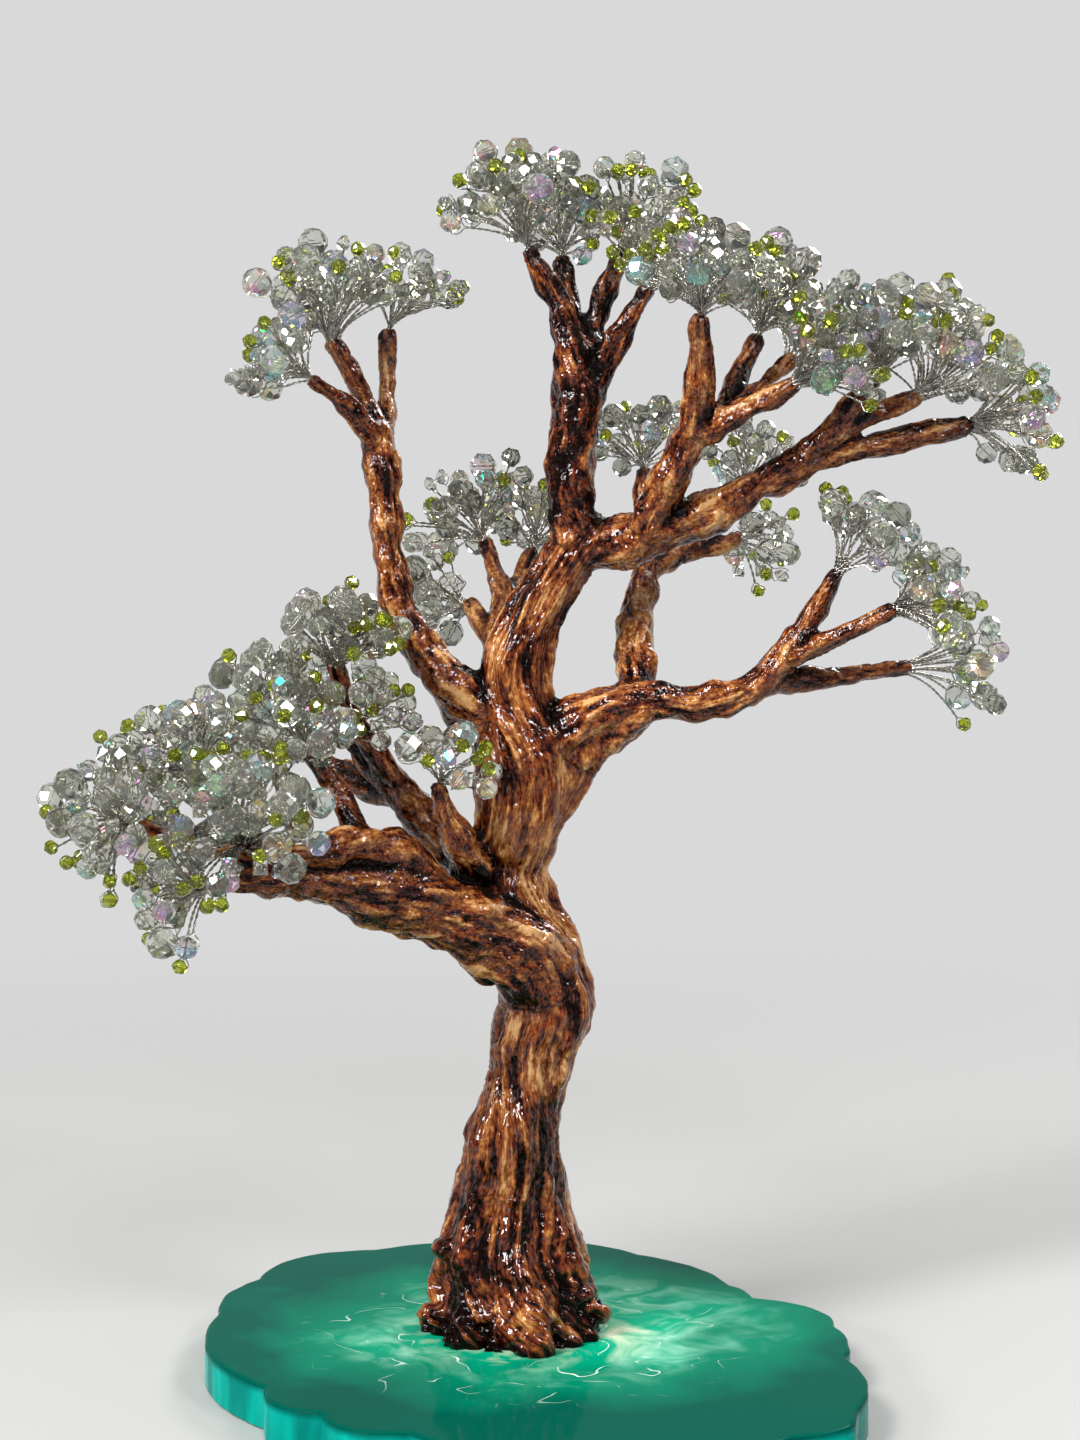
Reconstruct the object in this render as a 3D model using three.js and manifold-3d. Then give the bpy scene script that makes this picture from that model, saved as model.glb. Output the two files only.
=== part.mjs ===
// Beaded wire tree: sprays of glass beads on twisted wire, a hand-modelled bark coat over a wire
// armature, and a cast resin base with a scalloped rim.
// Millimetres, +Z up. The origin is on the base's underside, below the tree's middle, and -Y is the front.

import * as THREE from "three";
import { mergeVertices } from "three/addons/utils/BufferGeometryUtils.js";
import Module from "manifold-3d";

const wasm = await Module();
wasm.setup();

// Driving dimensions
const BASE_THICKNESS = 11;
const RIM_ROUNDING = 1;
const LOBE_POINTS = 4; // corners of the rim on each lobe

const GAP = 0.3; // clearance left between pieces that touch
const BORE_GAP = 0.5; // clearance round a wire bundle inside the bark

const TRUNK_WIRES_RADIUS = 5;
const ANCHOR_RADIUS = 9; // the trunk wires splay to this inside the resin
const ANCHOR_HEIGHT = 3.5; // the lowest wire end, above the underside
const LIMB_WIRES_RADIUS = 1.5;
const WIRES_TWIST_PITCH = 60; // length of one full turn of a bundle

const TAIL_LENGTH = 8; // wire bundle of a spray, seated in the end of a twig
const TAIL_RADIUS = 0.95;
const SOCKET_SIDES = 5;
const SOCKET_OVERSHOOT = 2; // the hole is cut this far past the twig's end
const KNOT_RADIUS = 2.1; // where the stems of a spray leave the bundle
const KNOT_FACE = 1.3; // from the middle of one of the knot's faces to its corners
const KNOT_OFFSET = 2; // from the twig's end to the knot's middle
const STEMS_PER_SPRAY = 13;
const STEM_SHORTFALL = 0.18; // stems fall short of the spray's reach by up to twice this share
const STEM_SHARES = [1, 0.85, 0.7, 0.58, 1.1]; // lengths tried, so that a stem clears its neighbours
const STEM_RADIUS = 0.4; // at its bead; a stem tapers from the knot's face
const STEM_ROOT = 3.8; // from the knot's middle to where a stem has to clear what is round it
const STEM_GATHER = 0.75; // how far the stems are drawn in towards the spray's aim
const BEAD_RADII = [4, 3.1, 3.7, 2.1]; // large, small and middle clear beads, then a green one
const BEAD_CORNER = 1.2; // a faceted bead's corners reach past its mean radius

const TRUNK_SIDES = 21; // three to a ridge
const TRUNK_STEP = 10; // distance between the rings of a loft
const LIMB_SIDES = 7;
const FORK_SIDES = 6;
const LIMB_STEP = 16;
const TRUNK_WIRES_SIDES = 6;
const LIMB_WIRES_SIDES = 5;

// Finishes
const finish = (color, roughness, metalness, extra = {}) =>
  new THREE.MeshStandardMaterial({ color, roughness, metalness, ...extra });
const RESIN = finish(0x0e7a63, 0.08, 0, { transparent: true, opacity: 0.9 });
const BARK = finish(0x6e3d1a, 0.25, 0);
const WIRE = finish(0xb9b6ae, 0.3, 1);
const CRYSTAL = finish(0xd5dade, 0.05, 0, { transparent: true, opacity: 0.7 });

// The rim is broken into lobes that meet in notches: each has its notch's angle in degrees and distance
// from the middle, and how far the lobe swells out before the next notch.
const RIM_LOBES = [
  [-149, 78, 4], [-131, 78.5, 4.5], [-112, 78.5, 3], [-92, 83, 3.5], [-72, 87, 2.5], [-53, 95, 4.5],
  [-37, 94, 1.5], [-12.5, 79, 1], [6.5, 78.5, 5], [31, 68.5, 1], [41.5, 71.5, 1.5], [70, 85, 5],
  [96, 92, 2.5], [120, 98, 7], [146, 96, 2.5], [165.5, 89, 2],
];

// Routes from root to tip: each point is x, y, z and the bark's radius there.
// Each limb or fork ends in a spray that leans along its aim and reaches that far from the tip.
const TRUNK_ROUTE = [
  [-7, 8, BASE_THICKNESS + GAP, 24],
  [-7, 8, 21, 21],
  [-8, 8, 34, 17.5],
  [-8, 8, 46, 14.2],
  [-7, 6, 61, 12.6],
  [-3, 5, 77, 10.8],
  [-1, 4, 87, 11.6],
  [2, 3, 98, 12],
  [-2, 5, 112, 11.2],
  [-8, 7, 131, 9.4],
  [-5, 5, 149, 12.6],
  [-5, 5, 163, 12.8],
  [-7, 5, 180, 9.6],
  [-2, 5, 196, 7.8],
  [5, 4, 208, 7.6],
  [12, 3, 217, 8],
];

const fork = (route, aim, reach) => ({ route, aim, reach });

const LIMBS = [
  {
    name: "left_low",
    route: [
      [0, 12, 95, 9], [-3, 1, 107, 10.6], [-16, -9, 118, 10.4],
      [-28, -16, 125, 9], [-42, -24, 130, 8], [-57, -33, 134, 5.5], [-76, -48, 134, 2.4],
    ],
    aim: [-0.95, -0.25, -0.15],
    reach: 23,
    forks: [
      fork([[-52, -30, 133, 4.5], [-78, -40, 142, 3.2], [-96, -44, 148, 2.3]], [-0.95, -0.1, 0.25], 24),
      fork([[-70, -37, 140, 3], [-77, -31, 150, 2.6], [-83, -26, 158, 2.3]], [-0.35, -0.1, 0.95], 24),
    ],
  },
  {
    name: "left_front",
    route: [
      [-24, -14, 125, 5], [-34, -20, 138, 5.4], [-46, -31, 141, 4.8],
      [-58, -42, 141, 3.4], [-68, -51, 144, 2.3],
    ],
    aim: [-0.35, -0.55, 0.65],
    reach: 24,
    forks: [
      fork([[-43, -27, 141, 3.6], [-49, -23, 152, 3], [-56, -21, 162, 2.3]], [-0.4, -0.3, 0.85], 24),
    ],
  },
  {
    name: "left_mid",
    route: [
      [-8, 5, 126, 6], [-21, 0, 137, 6.6], [-31, -2, 147, 5.6],
      [-39, -2, 156, 4.5], [-48, -3, 165, 2.4],
    ],
    aim: [0.1, -0.35, 0.9],
    reach: 22,
    forks: [
      fork([[-34, -2, 150, 4], [-52, 7, 157, 3], [-67, 14, 167, 2.3]], [-0.35, 0.15, 0.9], 27),
      fork([[-36, -2, 153, 4], [-45, -10, 168, 3], [-51, -14, 184, 2.3]], [0.15, -0.15, 1], 22),
      fork([[-17, -3, 132, 5.5], [-22, -15, 144, 3.8], [-25, -19, 154, 2.3]], [0.35, -0.4, 0.85], 19),
    ],
  },
  {
    name: "left_high",
    route: [
      [-8, 5, 166, 8], [-21, 4, 178, 7.4], [-30, 4, 188, 5.7], [-36, 4, 200, 4.6],
      [-39, 4, 215, 4.1], [-41, 4, 238, 4.5], [-45, 4, 253, 3.5], [-52, 2, 266, 2.4],
    ],
    aim: [-0.05, -0.1, 1],
    reach: 29,
    forks: [
      fork([[-41, 4, 240, 3.4], [-48, -3, 250, 2.6], [-56, -8, 256, 2.3]], [-0.8, -0.15, 0.7], 23),
      fork([[-41, 5, 240, 3.2], [-40, 12, 256, 2.5], [-40, 17, 270, 2.3]], [0.35, 0.2, 0.95], 27),
    ],
  },
  {
    name: "crown",
    route: [
      [10, 3, 214, 7.4], [8, 0, 230, 5.8], [8.5, -1, 240, 6.2], [10, -2, 253, 7.2],
      [9, -2.5, 263, 6], [4, -4, 277, 3.7], [-2, -6, 288, 2.3],
    ],
    aim: [-0.35, -0.15, 0.95],
    reach: 29,
    forks: [
      fork([[9, -1, 264, 3.6], [8, 5, 276, 2.8], [6, 10, 288, 2.3]], [0, 0.4, 0.95], 26),
      fork([[10, -2, 258, 4.4], [16, 3, 278, 3.2], [22, 8, 292, 2.3]], [0.2, 0.3, 0.95], 25),
      fork([[10, -2, 248, 4.6], [18, -5, 264, 3.6], [26, -9, 278, 2.4]], [0.3, -0.1, 0.95], 26),
    ],
  },
  {
    name: "right_high",
    route: [
      [9, 3, 213, 6.4], [28, 0, 219, 7], [43, -3, 224, 5.6], [57, -6, 232, 4.8],
      [72, -8, 239, 4.4], [88, -8, 241, 3.5], [106, -8, 245, 2.5],
    ],
    aim: [0.95, 0.05, 0.15],
    reach: 26,
    forks: [
      fork([[66, -8, 237, 3.8], [76, -14, 247, 3.2], [82, -19, 255, 2.4]], [0.05, -0.25, 0.95], 27),
      fork([[71, -11, 242, 3.2], [81, -13, 247, 2.9], [92, -14, 251, 2.3]], [0.5, 0.1, 0.85], 31),
    ],
  },
  {
    name: "right_front",
    route: [
      [25, 0, 218, 5.6], [34, -10, 233, 5.2], [38, -17, 245, 4.8],
      [39, -23, 255, 3.7], [39, -30, 268, 2.4],
    ],
    aim: [0, -0.3, 0.95],
    reach: 27,
    forks: [
      fork([[37, -15, 242, 4], [50, -22, 248, 3.5], [62, -28, 254, 2.3]], [0.75, -0.35, 0.6], 24),
      fork([[45, -19, 246, 3.2], [49, -13, 256, 2.7], [54, -7, 266, 2.3]], [0.3, 0.25, 0.9], 29),
      fork([[50, -20, 249, 2.8], [56, -14, 255, 2.5], [62, -9, 261, 2.3]], [0.6, 0.3, 0.8], 26),
    ],
  },
  {
    name: "right_low",
    route: [
      [-4, 5, 162, 9], [14, 4, 172, 7.4], [28, 4, 176, 5.8], [41, 2, 175, 4.7],
      [54, 0, 179, 4.5], [63, -2, 188, 4.2], [75, -2, 207, 2.3],
    ],
    aim: [0.5, -0.1, 0.85],
    reach: 25,
    forks: [
      fork([[60, -1, 185, 3.6], [76, -8, 193, 2.9], [87, -12, 198, 2.3]], [0.85, -0.25, 0.35], 24),
      fork([[56, 0, 181, 3.6], [77, 5, 182, 2.8], [94, 9, 184, 2.3]], [1, 0.2, 0], 28),
    ],
  },
  {
    name: "rear_right",
    route: [
      [25, 5, 175, 5], [25, 17, 190, 4.8], [27, 30, 205, 4.3],
      [29, 39, 214, 3.8], [29, 48, 226, 3.2], [29, 56, 237, 2.4],
    ],
    aim: [-0.1, 0.4, 0.9],
    reach: 24,
    forks: [
      fork([[28, 35, 209, 3.3], [44, 47, 218, 2.7], [57, 62, 234, 2.3]], [0.25, 0.5, 0.8], 22),
      fork([[40, 43, 214, 2.7], [47, 47, 216, 2.4], [54, 50, 219, 2.3]], [0.6, 0.4, -0.1], 19),
    ],
  },
  {
    name: "rear_left",
    route: [
      [-7, 8, 172, 6], [-11, 23, 179, 4.8], [-12, 34, 191, 3.7],
      [-10, 44, 202, 3.3], [-15, 56, 217, 2.4],
    ],
    aim: [-0.45, 0.4, 0.8],
    reach: 26,
    forks: [
      fork([[-12, 30, 187, 2.9], [-15, 38, 194, 2.5], [-19, 46, 200, 2.3]], [-0.85, 0.35, 0.15], 22),
      fork([[-10, 44, 201, 2.6], [-7, 53, 207, 2.4], [-3, 61, 215, 2.3]], [0.3, 0.45, 0.85], 24),
    ],
  },
];

// A limb and its forks are twigs alike: each has a route and a spray.
const twigsOf = (limb) => [limb, ...limb.forks];

// Solids
const WELD_DISTANCE = 1e-3;

function shared(geometry) {
  const bare = new THREE.BufferGeometry().setAttribute("position", geometry.getAttribute("position"));
  const merged = mergeVertices(bare.setIndex(geometry.index), WELD_DISTANCE);
  return { positions: merged.getAttribute("position").array, index: merged.index.array };
}

function solidOf(geometry) {
  const { positions, index } = shared(geometry);
  const vertProperties = new Float32Array(positions);
  const triVerts = new Uint32Array(index);
  return new wasm.Manifold(new wasm.Mesh({ numProp: 3, vertProperties, triVerts }));
}

function geometryOf(solid) {
  const mesh = solid.getMesh();
  return new THREE.BufferGeometry()
    .setAttribute("position", new THREE.BufferAttribute(mesh.vertProperties, mesh.numProp))
    .setIndex(new THREE.BufferAttribute(mesh.triVerts, 1))
    .toNonIndexed();
}

const joined = (solids) => solids.reduce((sum, solid) => sum.add(solid));
const cutBy = (solid, tools) => tools.reduce((rest, tool) => rest.subtract(tool), solid);
const largestBody = (solid) => solid.decompose().reduce((a, b) => (a.volume() > b.volume() ? a : b));

// Lofts
const pointOf = ([x, y, z]) => new THREE.Vector3(x, y, z);
const curveOf = (route) => new THREE.CatmullRomCurve3(route.map(pointOf), false, "centripetal");

// The radius of a route at the share u of its length, between the radii of its points.
function radiusAlong(route, curve, u) {
  const place = curve.getUtoTmapping(u) * (route.length - 1);
  const first = Math.min(Math.floor(place), route.length - 2);
  return THREE.MathUtils.lerp(route[first][3], route[first + 1][3], place - first);
}

// A closed tube round a curve, up to a share of its length. radiusAt gives the wall at a share and an angle.
function loft(curve, { sides, step, radiusAt, to = 1 }) {
  const rings = Math.max(2, Math.round((curve.getLength() * to) / step));
  const frames = curve.computeFrenetFrames(rings, false);
  const positions = [];
  for (let i = 0; i <= rings; i++) {
    const u = (to * i) / rings;
    const centre = curve.getPointAt(u);
    const tangent = curve.getTangentAt(u);
    const normal = frames.normals[i].clone().projectOnPlane(tangent).normalize();
    const binormal = tangent.clone().cross(normal);
    for (let k = 0; k < sides; k++) {
      const angle = (2 * Math.PI * k) / sides;
      const radius = radiusAt(u, angle);
      const rim = centre.clone().addScaledVector(normal, radius * Math.cos(angle));
      positions.push(...rim.addScaledVector(binormal, radius * Math.sin(angle)).toArray());
    }
  }
  positions.push(...curve.getPointAt(0).toArray(), ...curve.getPointAt(to).toArray());
  const startCentre = (rings + 1) * sides;
  const endCentre = startCentre + 1;
  const triangles = [];
  for (let k = 0; k < sides; k++) {
    const next = (k + 1) % sides;
    triangles.push(startCentre, next, k);
    triangles.push(endCentre, rings * sides + k, rings * sides + next);
    for (let i = 0; i < rings; i++) {
      const a = i * sides + k;
      const b = i * sides + next;
      triangles.push(a, b, a + sides, b, b + sides, a + sides);
    }
  }
  return new THREE.BufferGeometry()
    .setAttribute("position", new THREE.Float32BufferAttribute(positions, 3))
    .setIndex(triangles);
}

// Bark ridges run along a limb and turn slowly round it.
const RIDGE_REACH = 1.12; // the highest ridge, against the radius of its route
const LIMB_RIDGES = [{ count: 3, depth: 0.06, turn: 7 }]; // turn: radians over a branch's length
const TRUNK_RIDGES = [
  { count: 7, depth: 0.07, turn: 5 },
  { count: 2, depth: 0.05, turn: -18 }, // broad swellings that wind the other way
];
const ridges = (waves, u, angle) =>
  waves.reduce((sum, { count, depth, turn }) => sum + depth * Math.sin(count * angle + turn * u), 1);

// Roots: the trunk's foot spreads into buttresses that fade out low on the trunk.
const ROOT_SHARE = 0.1; // of the trunk's length
const ROOTS = { count: 5, swell: 0.1, offset: 0.6 };
const ROOTLETS = { count: 8, swell: 0.06, offset: 0 };
const swelling = ({ count, swell, offset }, angle) => swell * Math.sin(count * angle + offset);

function rootFlare(u, angle) {
  const fade = Math.max(0, 1 - u / ROOT_SHARE);
  return 1 + fade * (swelling(ROOTS, angle) + swelling(ROOTLETS, angle));
}

function trunkLoft(grow = 0) {
  const curve = curveOf(TRUNK_ROUTE);
  const radiusAt = (u, angle) =>
    radiusAlong(TRUNK_ROUTE, curve, u) * ridges(TRUNK_RIDGES, u, angle) * rootFlare(u, angle) + grow;
  return solidOf(loft(curve, { sides: TRUNK_SIDES, step: TRUNK_STEP, radiusAt }));
}

function branchLoft(route, sides, grow = 0) {
  const curve = curveOf(route);
  const radiusAt = (u, angle) => radiusAlong(route, curve, u) * ridges(LIMB_RIDGES, u, angle) + grow;
  return solidOf(loft(curve, { sides, step: LIMB_STEP, radiusAt }));
}

const limbLoft = (limb, grow = 0) =>
  joined([
    branchLoft(limb.route, LIMB_SIDES, grow),
    ...limb.forks.map((fork) => branchLoft(fork.route, FORK_SIDES, grow)),
  ]);

// Armature: bundles of wire twisted together, each with its bore: the same route, grown by a clearance.
const TRUNK_BORE_TOP = 0.985; // shares of the trunk's route that the bore and the bundle follow
const TRUNK_WIRES_TOP = 0.97;
const LIMB_BORE_SPARE = 7; // bark left between a limb's bore or bundle and the spray seated in its tip
const LIMB_WIRES_SPARE = 8;

// A polygon drawn round a circle reaches this much further at its corners.
const cornerReach = (sides) => 1 / Math.cos(Math.PI / sides);

// Strands wound round each other, seen in section at a length along the bundle.
const STRANDS = 3;
const STRAND_GROOVE = 0.18; // depth of the groove between two strands, against the radius
const TRUNK_WIRES_TAPER = 0.35; // share of the trunk bundle's radius that is lost up to its top
const strands = (angle, along) =>
  1 - (STRAND_GROOVE / 2) * (1 + Math.cos(STRANDS * angle + (2 * Math.PI * along) / WIRES_TWIST_PITCH));

function trunkWires(grow = 0) {
  const sides = TRUNK_WIRES_SIDES;
  const [x, y] = TRUNK_ROUTE[0];
  const curve = curveOf([[x, y, ANCHOR_HEIGHT - grow], [x, y, BASE_THICKNESS], ...TRUNK_ROUTE.slice(1)]);
  const length = curve.getLength();
  const radiusAt = (u, angle) => {
    const splay = Math.max(0, 1 - (u * length) / (BASE_THICKNESS - ANCHOR_HEIGHT));
    const widest = THREE.MathUtils.lerp(TRUNK_WIRES_RADIUS, ANCHOR_RADIUS, splay);
    const radius = widest * (1 - TRUNK_WIRES_TAPER * u);
    return grow ? (radius + grow) * cornerReach(sides) : radius * strands(angle, u * length);
  };
  const to = grow ? TRUNK_BORE_TOP : TRUNK_WIRES_TOP;
  return solidOf(loft(curve, { sides, step: TRUNK_STEP, radiusAt, to }));
}

function limbWires(limb, grow = 0) {
  const sides = LIMB_WIRES_SIDES;
  const curve = curveOf(limb.route);
  const length = curve.getLength();
  const radiusAt = (u, angle) =>
    grow ? (LIMB_WIRES_RADIUS + grow) * cornerReach(sides) : LIMB_WIRES_RADIUS * strands(angle, u * length);
  const to = 1 - (TAIL_LENGTH + (grow ? LIMB_BORE_SPARE : LIMB_WIRES_SPARE)) / length;
  return solidOf(loft(curve, { sides, step: LIMB_STEP, radiusAt, to }));
}

// Sprays: a bundle seated in the twig, a knot, and stems that fan out to one bead each.
// The knot is a ball of twenty faces: one is drawn out into the bundle, those nearest the aim into stems.
const THIRD = (2 * Math.PI) / 3;
const GOLDEN_ANGLE = Math.PI * (3 - Math.sqrt(5));
const BELT_SHARE = 0.4; // a bead's widest rings lie this far either side of its middle
const tipOf = ({ route }) => ({ tip: curveOf(route).getPointAt(1), outward: curveOf(route).getTangentAt(1) });

const faceDirection = (corners, face) =>
  face.reduce((sum, i) => sum.add(corners[i]), new THREE.Vector3()).normalize();

// Corners are kept from the ball's own middle. Its first face looks back down the twig.
function knotBall(middle, back) {
  const { positions, index } = shared(new THREE.IcosahedronGeometry(KNOT_RADIUS, 0));
  const corners = [];
  for (let i = 0; i < positions.length; i += 3)
    corners.push(new THREE.Vector3().fromArray(positions, i));
  const faces = [];
  for (let i = 0; i < index.length; i += 3)
    faces.push([...index.slice(i, i + 3)]);
  const turn = new THREE.Quaternion().setFromUnitVectors(faceDirection(corners, faces[0]), back);
  corners.forEach((corner) => corner.applyQuaternion(turn));
  return { middle, corners, faces };
}

// Draws a face of the ball out along a direction, through rings of three corners, to a point or a flat end.
function drawOut(ball, face, direction, stations, point) {
  const across = ball.corners[face[0]].clone().projectOnPlane(direction).normalize();
  const beside = direction.clone().cross(across);
  let ring = face;
  for (const { distance, radius, turn = 0 } of stations) {
    const next = [0, 1, 2].map((k) => {
      const angle = k * THIRD + turn;
      const corner = direction.clone().multiplyScalar(distance);
      corner.addScaledVector(across, radius * Math.cos(angle));
      return ball.corners.push(corner.addScaledVector(beside, radius * Math.sin(angle))) - 1;
    });
    for (let k = 0; k < 3; k++) {
      const after = (k + 1) % 3;
      ball.faces.push([ring[k], ring[after], next[k]], [ring[after], next[after], next[k]]);
    }
    ring = next;
  }
  ball.faces.splice(ball.faces.indexOf(face), 1);
  if (point === undefined) return ball.faces.push(ring);
  const apex = ball.corners.push(direction.clone().multiplyScalar(point)) - 1;
  return ring.forEach((corner, k) => ball.faces.push([corner, ring[(k + 1) % 3], apex]));
}

function drawTail(ball, face, back) {
  drawOut(ball, face, back, [
    { distance: KNOT_OFFSET, radius: TAIL_RADIUS },
    { distance: KNOT_OFFSET + TAIL_LENGTH, radius: TAIL_RADIUS },
  ]);
}

function drawStem(ball, face, { direction, length, radius }) {
  const belt = BEAD_CORNER * radius;
  drawOut(ball, face, direction, [
    { distance: length - radius, radius: STEM_RADIUS },
    { distance: length - BELT_SHARE * radius, radius: belt },
    { distance: length + BELT_SHARE * radius, radius: belt, turn: THIRD / 2 },
  ], length + radius);
}

// Room: spheres along every branch and stem. A stem that would touch a neighbour is shortened, given a
// smaller bead or left out.
// Stems of one spray meet in its knot, so only its beads have to clear the rest of it.
const taken = [];
const SPHERE_STEP = 1.5;

function stemSpheres(middle, { direction, length, radius }, owner) {
  const at = (distance) => middle.clone().addScaledVector(direction, distance);
  const spheres = [{ centre: at(length), radius: BEAD_CORNER * radius, owner, isBead: true }];
  for (let d = STEM_ROOT; d < length; d += SPHERE_STEP) {
    const thick = THREE.MathUtils.mapLinear(d, KNOT_RADIUS, length, KNOT_FACE, STEM_RADIUS);
    spheres.push({ centre: at(d), radius: thick, owner });
  }
  return spheres;
}

function takeBranch(twig) {
  const curve = curveOf(twig.route);
  const count = Math.ceil(curve.getLength() / SPHERE_STEP);
  for (let i = 0; i <= count; i++) {
    const radius = RIDGE_REACH * radiusAlong(twig.route, curve, i / count);
    taken.push({ centre: curve.getPointAt(i / count), radius, owner: twig });
  }
}

const mayMeet = (mine, other) => mine.owner === other.owner && !mine.isBead && !other.isBead;
const isClear = (spheres) =>
  spheres.every((mine) => taken.every((other) => mayMeet(mine, other)
    || mine.centre.distanceTo(other.centre) > mine.radius + other.radius + GAP));

function spraySolid(twig, owner) {
  const { tip, outward } = tipOf(twig);
  const back = outward.clone().negate();
  const aim = pointOf(twig.aim).normalize();
  const ball = knotBall(tip.addScaledVector(outward, KNOT_OFFSET), back);
  const [tailFace, ...others] = ball.faces;
  const lean = (face) => faceDirection(ball.corners, face).dot(aim);
  const stemFaces = others.sort((a, b) => lean(b) - lean(a)).slice(0, STEMS_PER_SPRAY);
  drawTail(ball, tailFace, back);
  stemFaces.forEach((face, k) => {
    const radii = [BEAD_RADII[k % BEAD_RADII.length], Math.min(...BEAD_RADII)];
    const reach = twig.reach * (1 - STEM_SHORTFALL * (1 - Math.sin(GOLDEN_ANGLE * k + 1)));
    const direction = faceDirection(ball.corners, face).addScaledVector(aim, STEM_GATHER).normalize();
    const choices = radii.flatMap((radius) =>
      STEM_SHARES.map((share) => ({ direction, length: share * (reach - radius), radius })));
    const stem = choices.find((choice) => isClear(stemSpheres(ball.middle, choice, owner)));
    if (!stem) return;
    taken.push(...stemSpheres(ball.middle, stem, owner));
    drawStem(ball, face, stem);
  });
  const geometry = new THREE.BufferGeometry().setFromPoints(ball.corners).setIndex(ball.faces.flat());
  return solidOf(geometry.translate(...ball.middle.toArray()));
}

// The hole in a twig's end that a spray's bundle is seated in.
function spraySocket(twig) {
  const { tip, outward } = tipOf(twig);
  const radius = (TAIL_RADIUS + GAP) * cornerReach(SOCKET_SIDES);
  const length = TAIL_LENGTH + GAP + SOCKET_OVERSHOOT;
  const hole = new THREE.CylinderGeometry(radius, radius, length, SOCKET_SIDES).translate(0, length / 2, 0);
  const start = tip.addScaledVector(outward, -TAIL_LENGTH - GAP);
  const turn = new THREE.Quaternion().setFromUnitVectors(new THREE.Vector3(0, 1, 0), outward);
  return solidOf(hole.applyQuaternion(turn).translate(...start.toArray()));
}

// Base: a cast slab with a lobed rim.
function rimPoint(angle, distance) {
  const turn = THREE.MathUtils.degToRad(angle);
  return new THREE.Vector2(distance * Math.cos(turn), distance * Math.sin(turn));
}

function lobePoints([angle, distance, swell], i) {
  const [nextAngle, nextDistance] = RIM_LOBES[(i + 1) % RIM_LOBES.length];
  const sweep = THREE.MathUtils.euclideanModulo(nextAngle - angle, 360);
  return Array.from({ length: LOBE_POINTS }, (_, k) => {
    const share = k / LOBE_POINTS;
    const out = THREE.MathUtils.lerp(distance, nextDistance, share) + swell * Math.sin(Math.PI * share);
    return rimPoint(angle + sweep * share, out);
  });
}

function baseSolid(socket) {
  const slab = new THREE.ExtrudeGeometry(new THREE.Shape(RIM_LOBES.flatMap(lobePoints)), {
    depth: BASE_THICKNESS - 2 * RIM_ROUNDING,
    bevelSize: RIM_ROUNDING,
    bevelThickness: RIM_ROUNDING,
    bevelOffset: -RIM_ROUNDING,
    bevelSegments: 1,
  }).translate(0, 0, RIM_ROUNDING);
  return solidOf(slab).subtract(socket);
}

// Assembly
const tree = new THREE.Group();
tree.name = "beaded_wire_tree";

function addPiece(name, solid, material) {
  const piece = new THREE.Mesh(geometryOf(solid), material);
  piece.name = name;
  tree.add(piece);
}

const trunkBore = trunkWires(BORE_GAP);
const bores = [trunkBore, ...LIMBS.map((limb) => limbWires(limb, BORE_GAP))];

addPiece("resin_base", baseSolid(trunkBore), RESIN);
addPiece("trunk_armature", trunkWires(), WIRE);
addPiece("trunk_bark", largestBody(cutBy(trunkLoft(), bores)), BARK);

const grownBark = [trunkLoft(GAP)];
const grownWires = [trunkWires(GAP)];
for (const limb of LIMBS) {
  const sockets = twigsOf(limb).map(spraySocket);
  const bark = cutBy(limbLoft(limb), [...grownBark, ...bores, ...sockets]);
  addPiece(`${limb.name}_limb_bark`, largestBody(bark), BARK);
  addPiece(`${limb.name}_limb_armature`, largestBody(cutBy(limbWires(limb), grownWires)), WIRE);
  grownBark.push(limbLoft(limb, GAP));
  grownWires.push(limbWires(limb, GAP));
}

takeBranch({ route: TRUNK_ROUTE });
LIMBS.flatMap(twigsOf).forEach(takeBranch);
for (const limb of LIMBS)
  twigsOf(limb).forEach((twig, i) => {
    const name = `${limb.name}_spray_${i + 1}`;
    addPiece(name, spraySolid(twig, name), CRYSTAL);
  });

export default tree;
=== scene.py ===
"""Beaded wire tree: a bark coat over a wire armature, sprays of glass beads and a cast resin base."""

import logging
import math
import random
from dataclasses import dataclass, field
from enum import Enum

import bmesh
import bpy
from bpy.types import Material, Mesh, Node, NodeSocket, NodeTree, Object, Scene
from mathutils import Matrix, Quaternion, Vector, kdtree, noise


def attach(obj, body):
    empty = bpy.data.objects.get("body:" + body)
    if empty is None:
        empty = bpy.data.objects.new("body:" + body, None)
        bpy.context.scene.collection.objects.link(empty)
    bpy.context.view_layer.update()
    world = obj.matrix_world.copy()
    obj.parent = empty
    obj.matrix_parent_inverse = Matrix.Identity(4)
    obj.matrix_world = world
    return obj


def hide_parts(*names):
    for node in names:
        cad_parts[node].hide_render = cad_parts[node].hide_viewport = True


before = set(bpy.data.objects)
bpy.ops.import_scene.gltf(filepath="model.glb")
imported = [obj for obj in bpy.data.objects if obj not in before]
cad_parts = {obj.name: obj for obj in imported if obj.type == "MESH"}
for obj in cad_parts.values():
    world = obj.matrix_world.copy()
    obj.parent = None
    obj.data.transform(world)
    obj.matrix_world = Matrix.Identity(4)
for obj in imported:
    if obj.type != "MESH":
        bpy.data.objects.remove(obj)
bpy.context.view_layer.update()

log = logging.getLogger("beaded_wire_tree")

MM = 0.001
BODY = "root"
GOLDEN_ANGLE = math.pi * (3 - math.sqrt(5))
UP = Vector((0.0, 0.0, 1.0))
MIX_SHARE, MIX_FIRST, MIX_SECOND = 0, 6, 7  # a Mix node's sockets when it mixes colours

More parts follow.
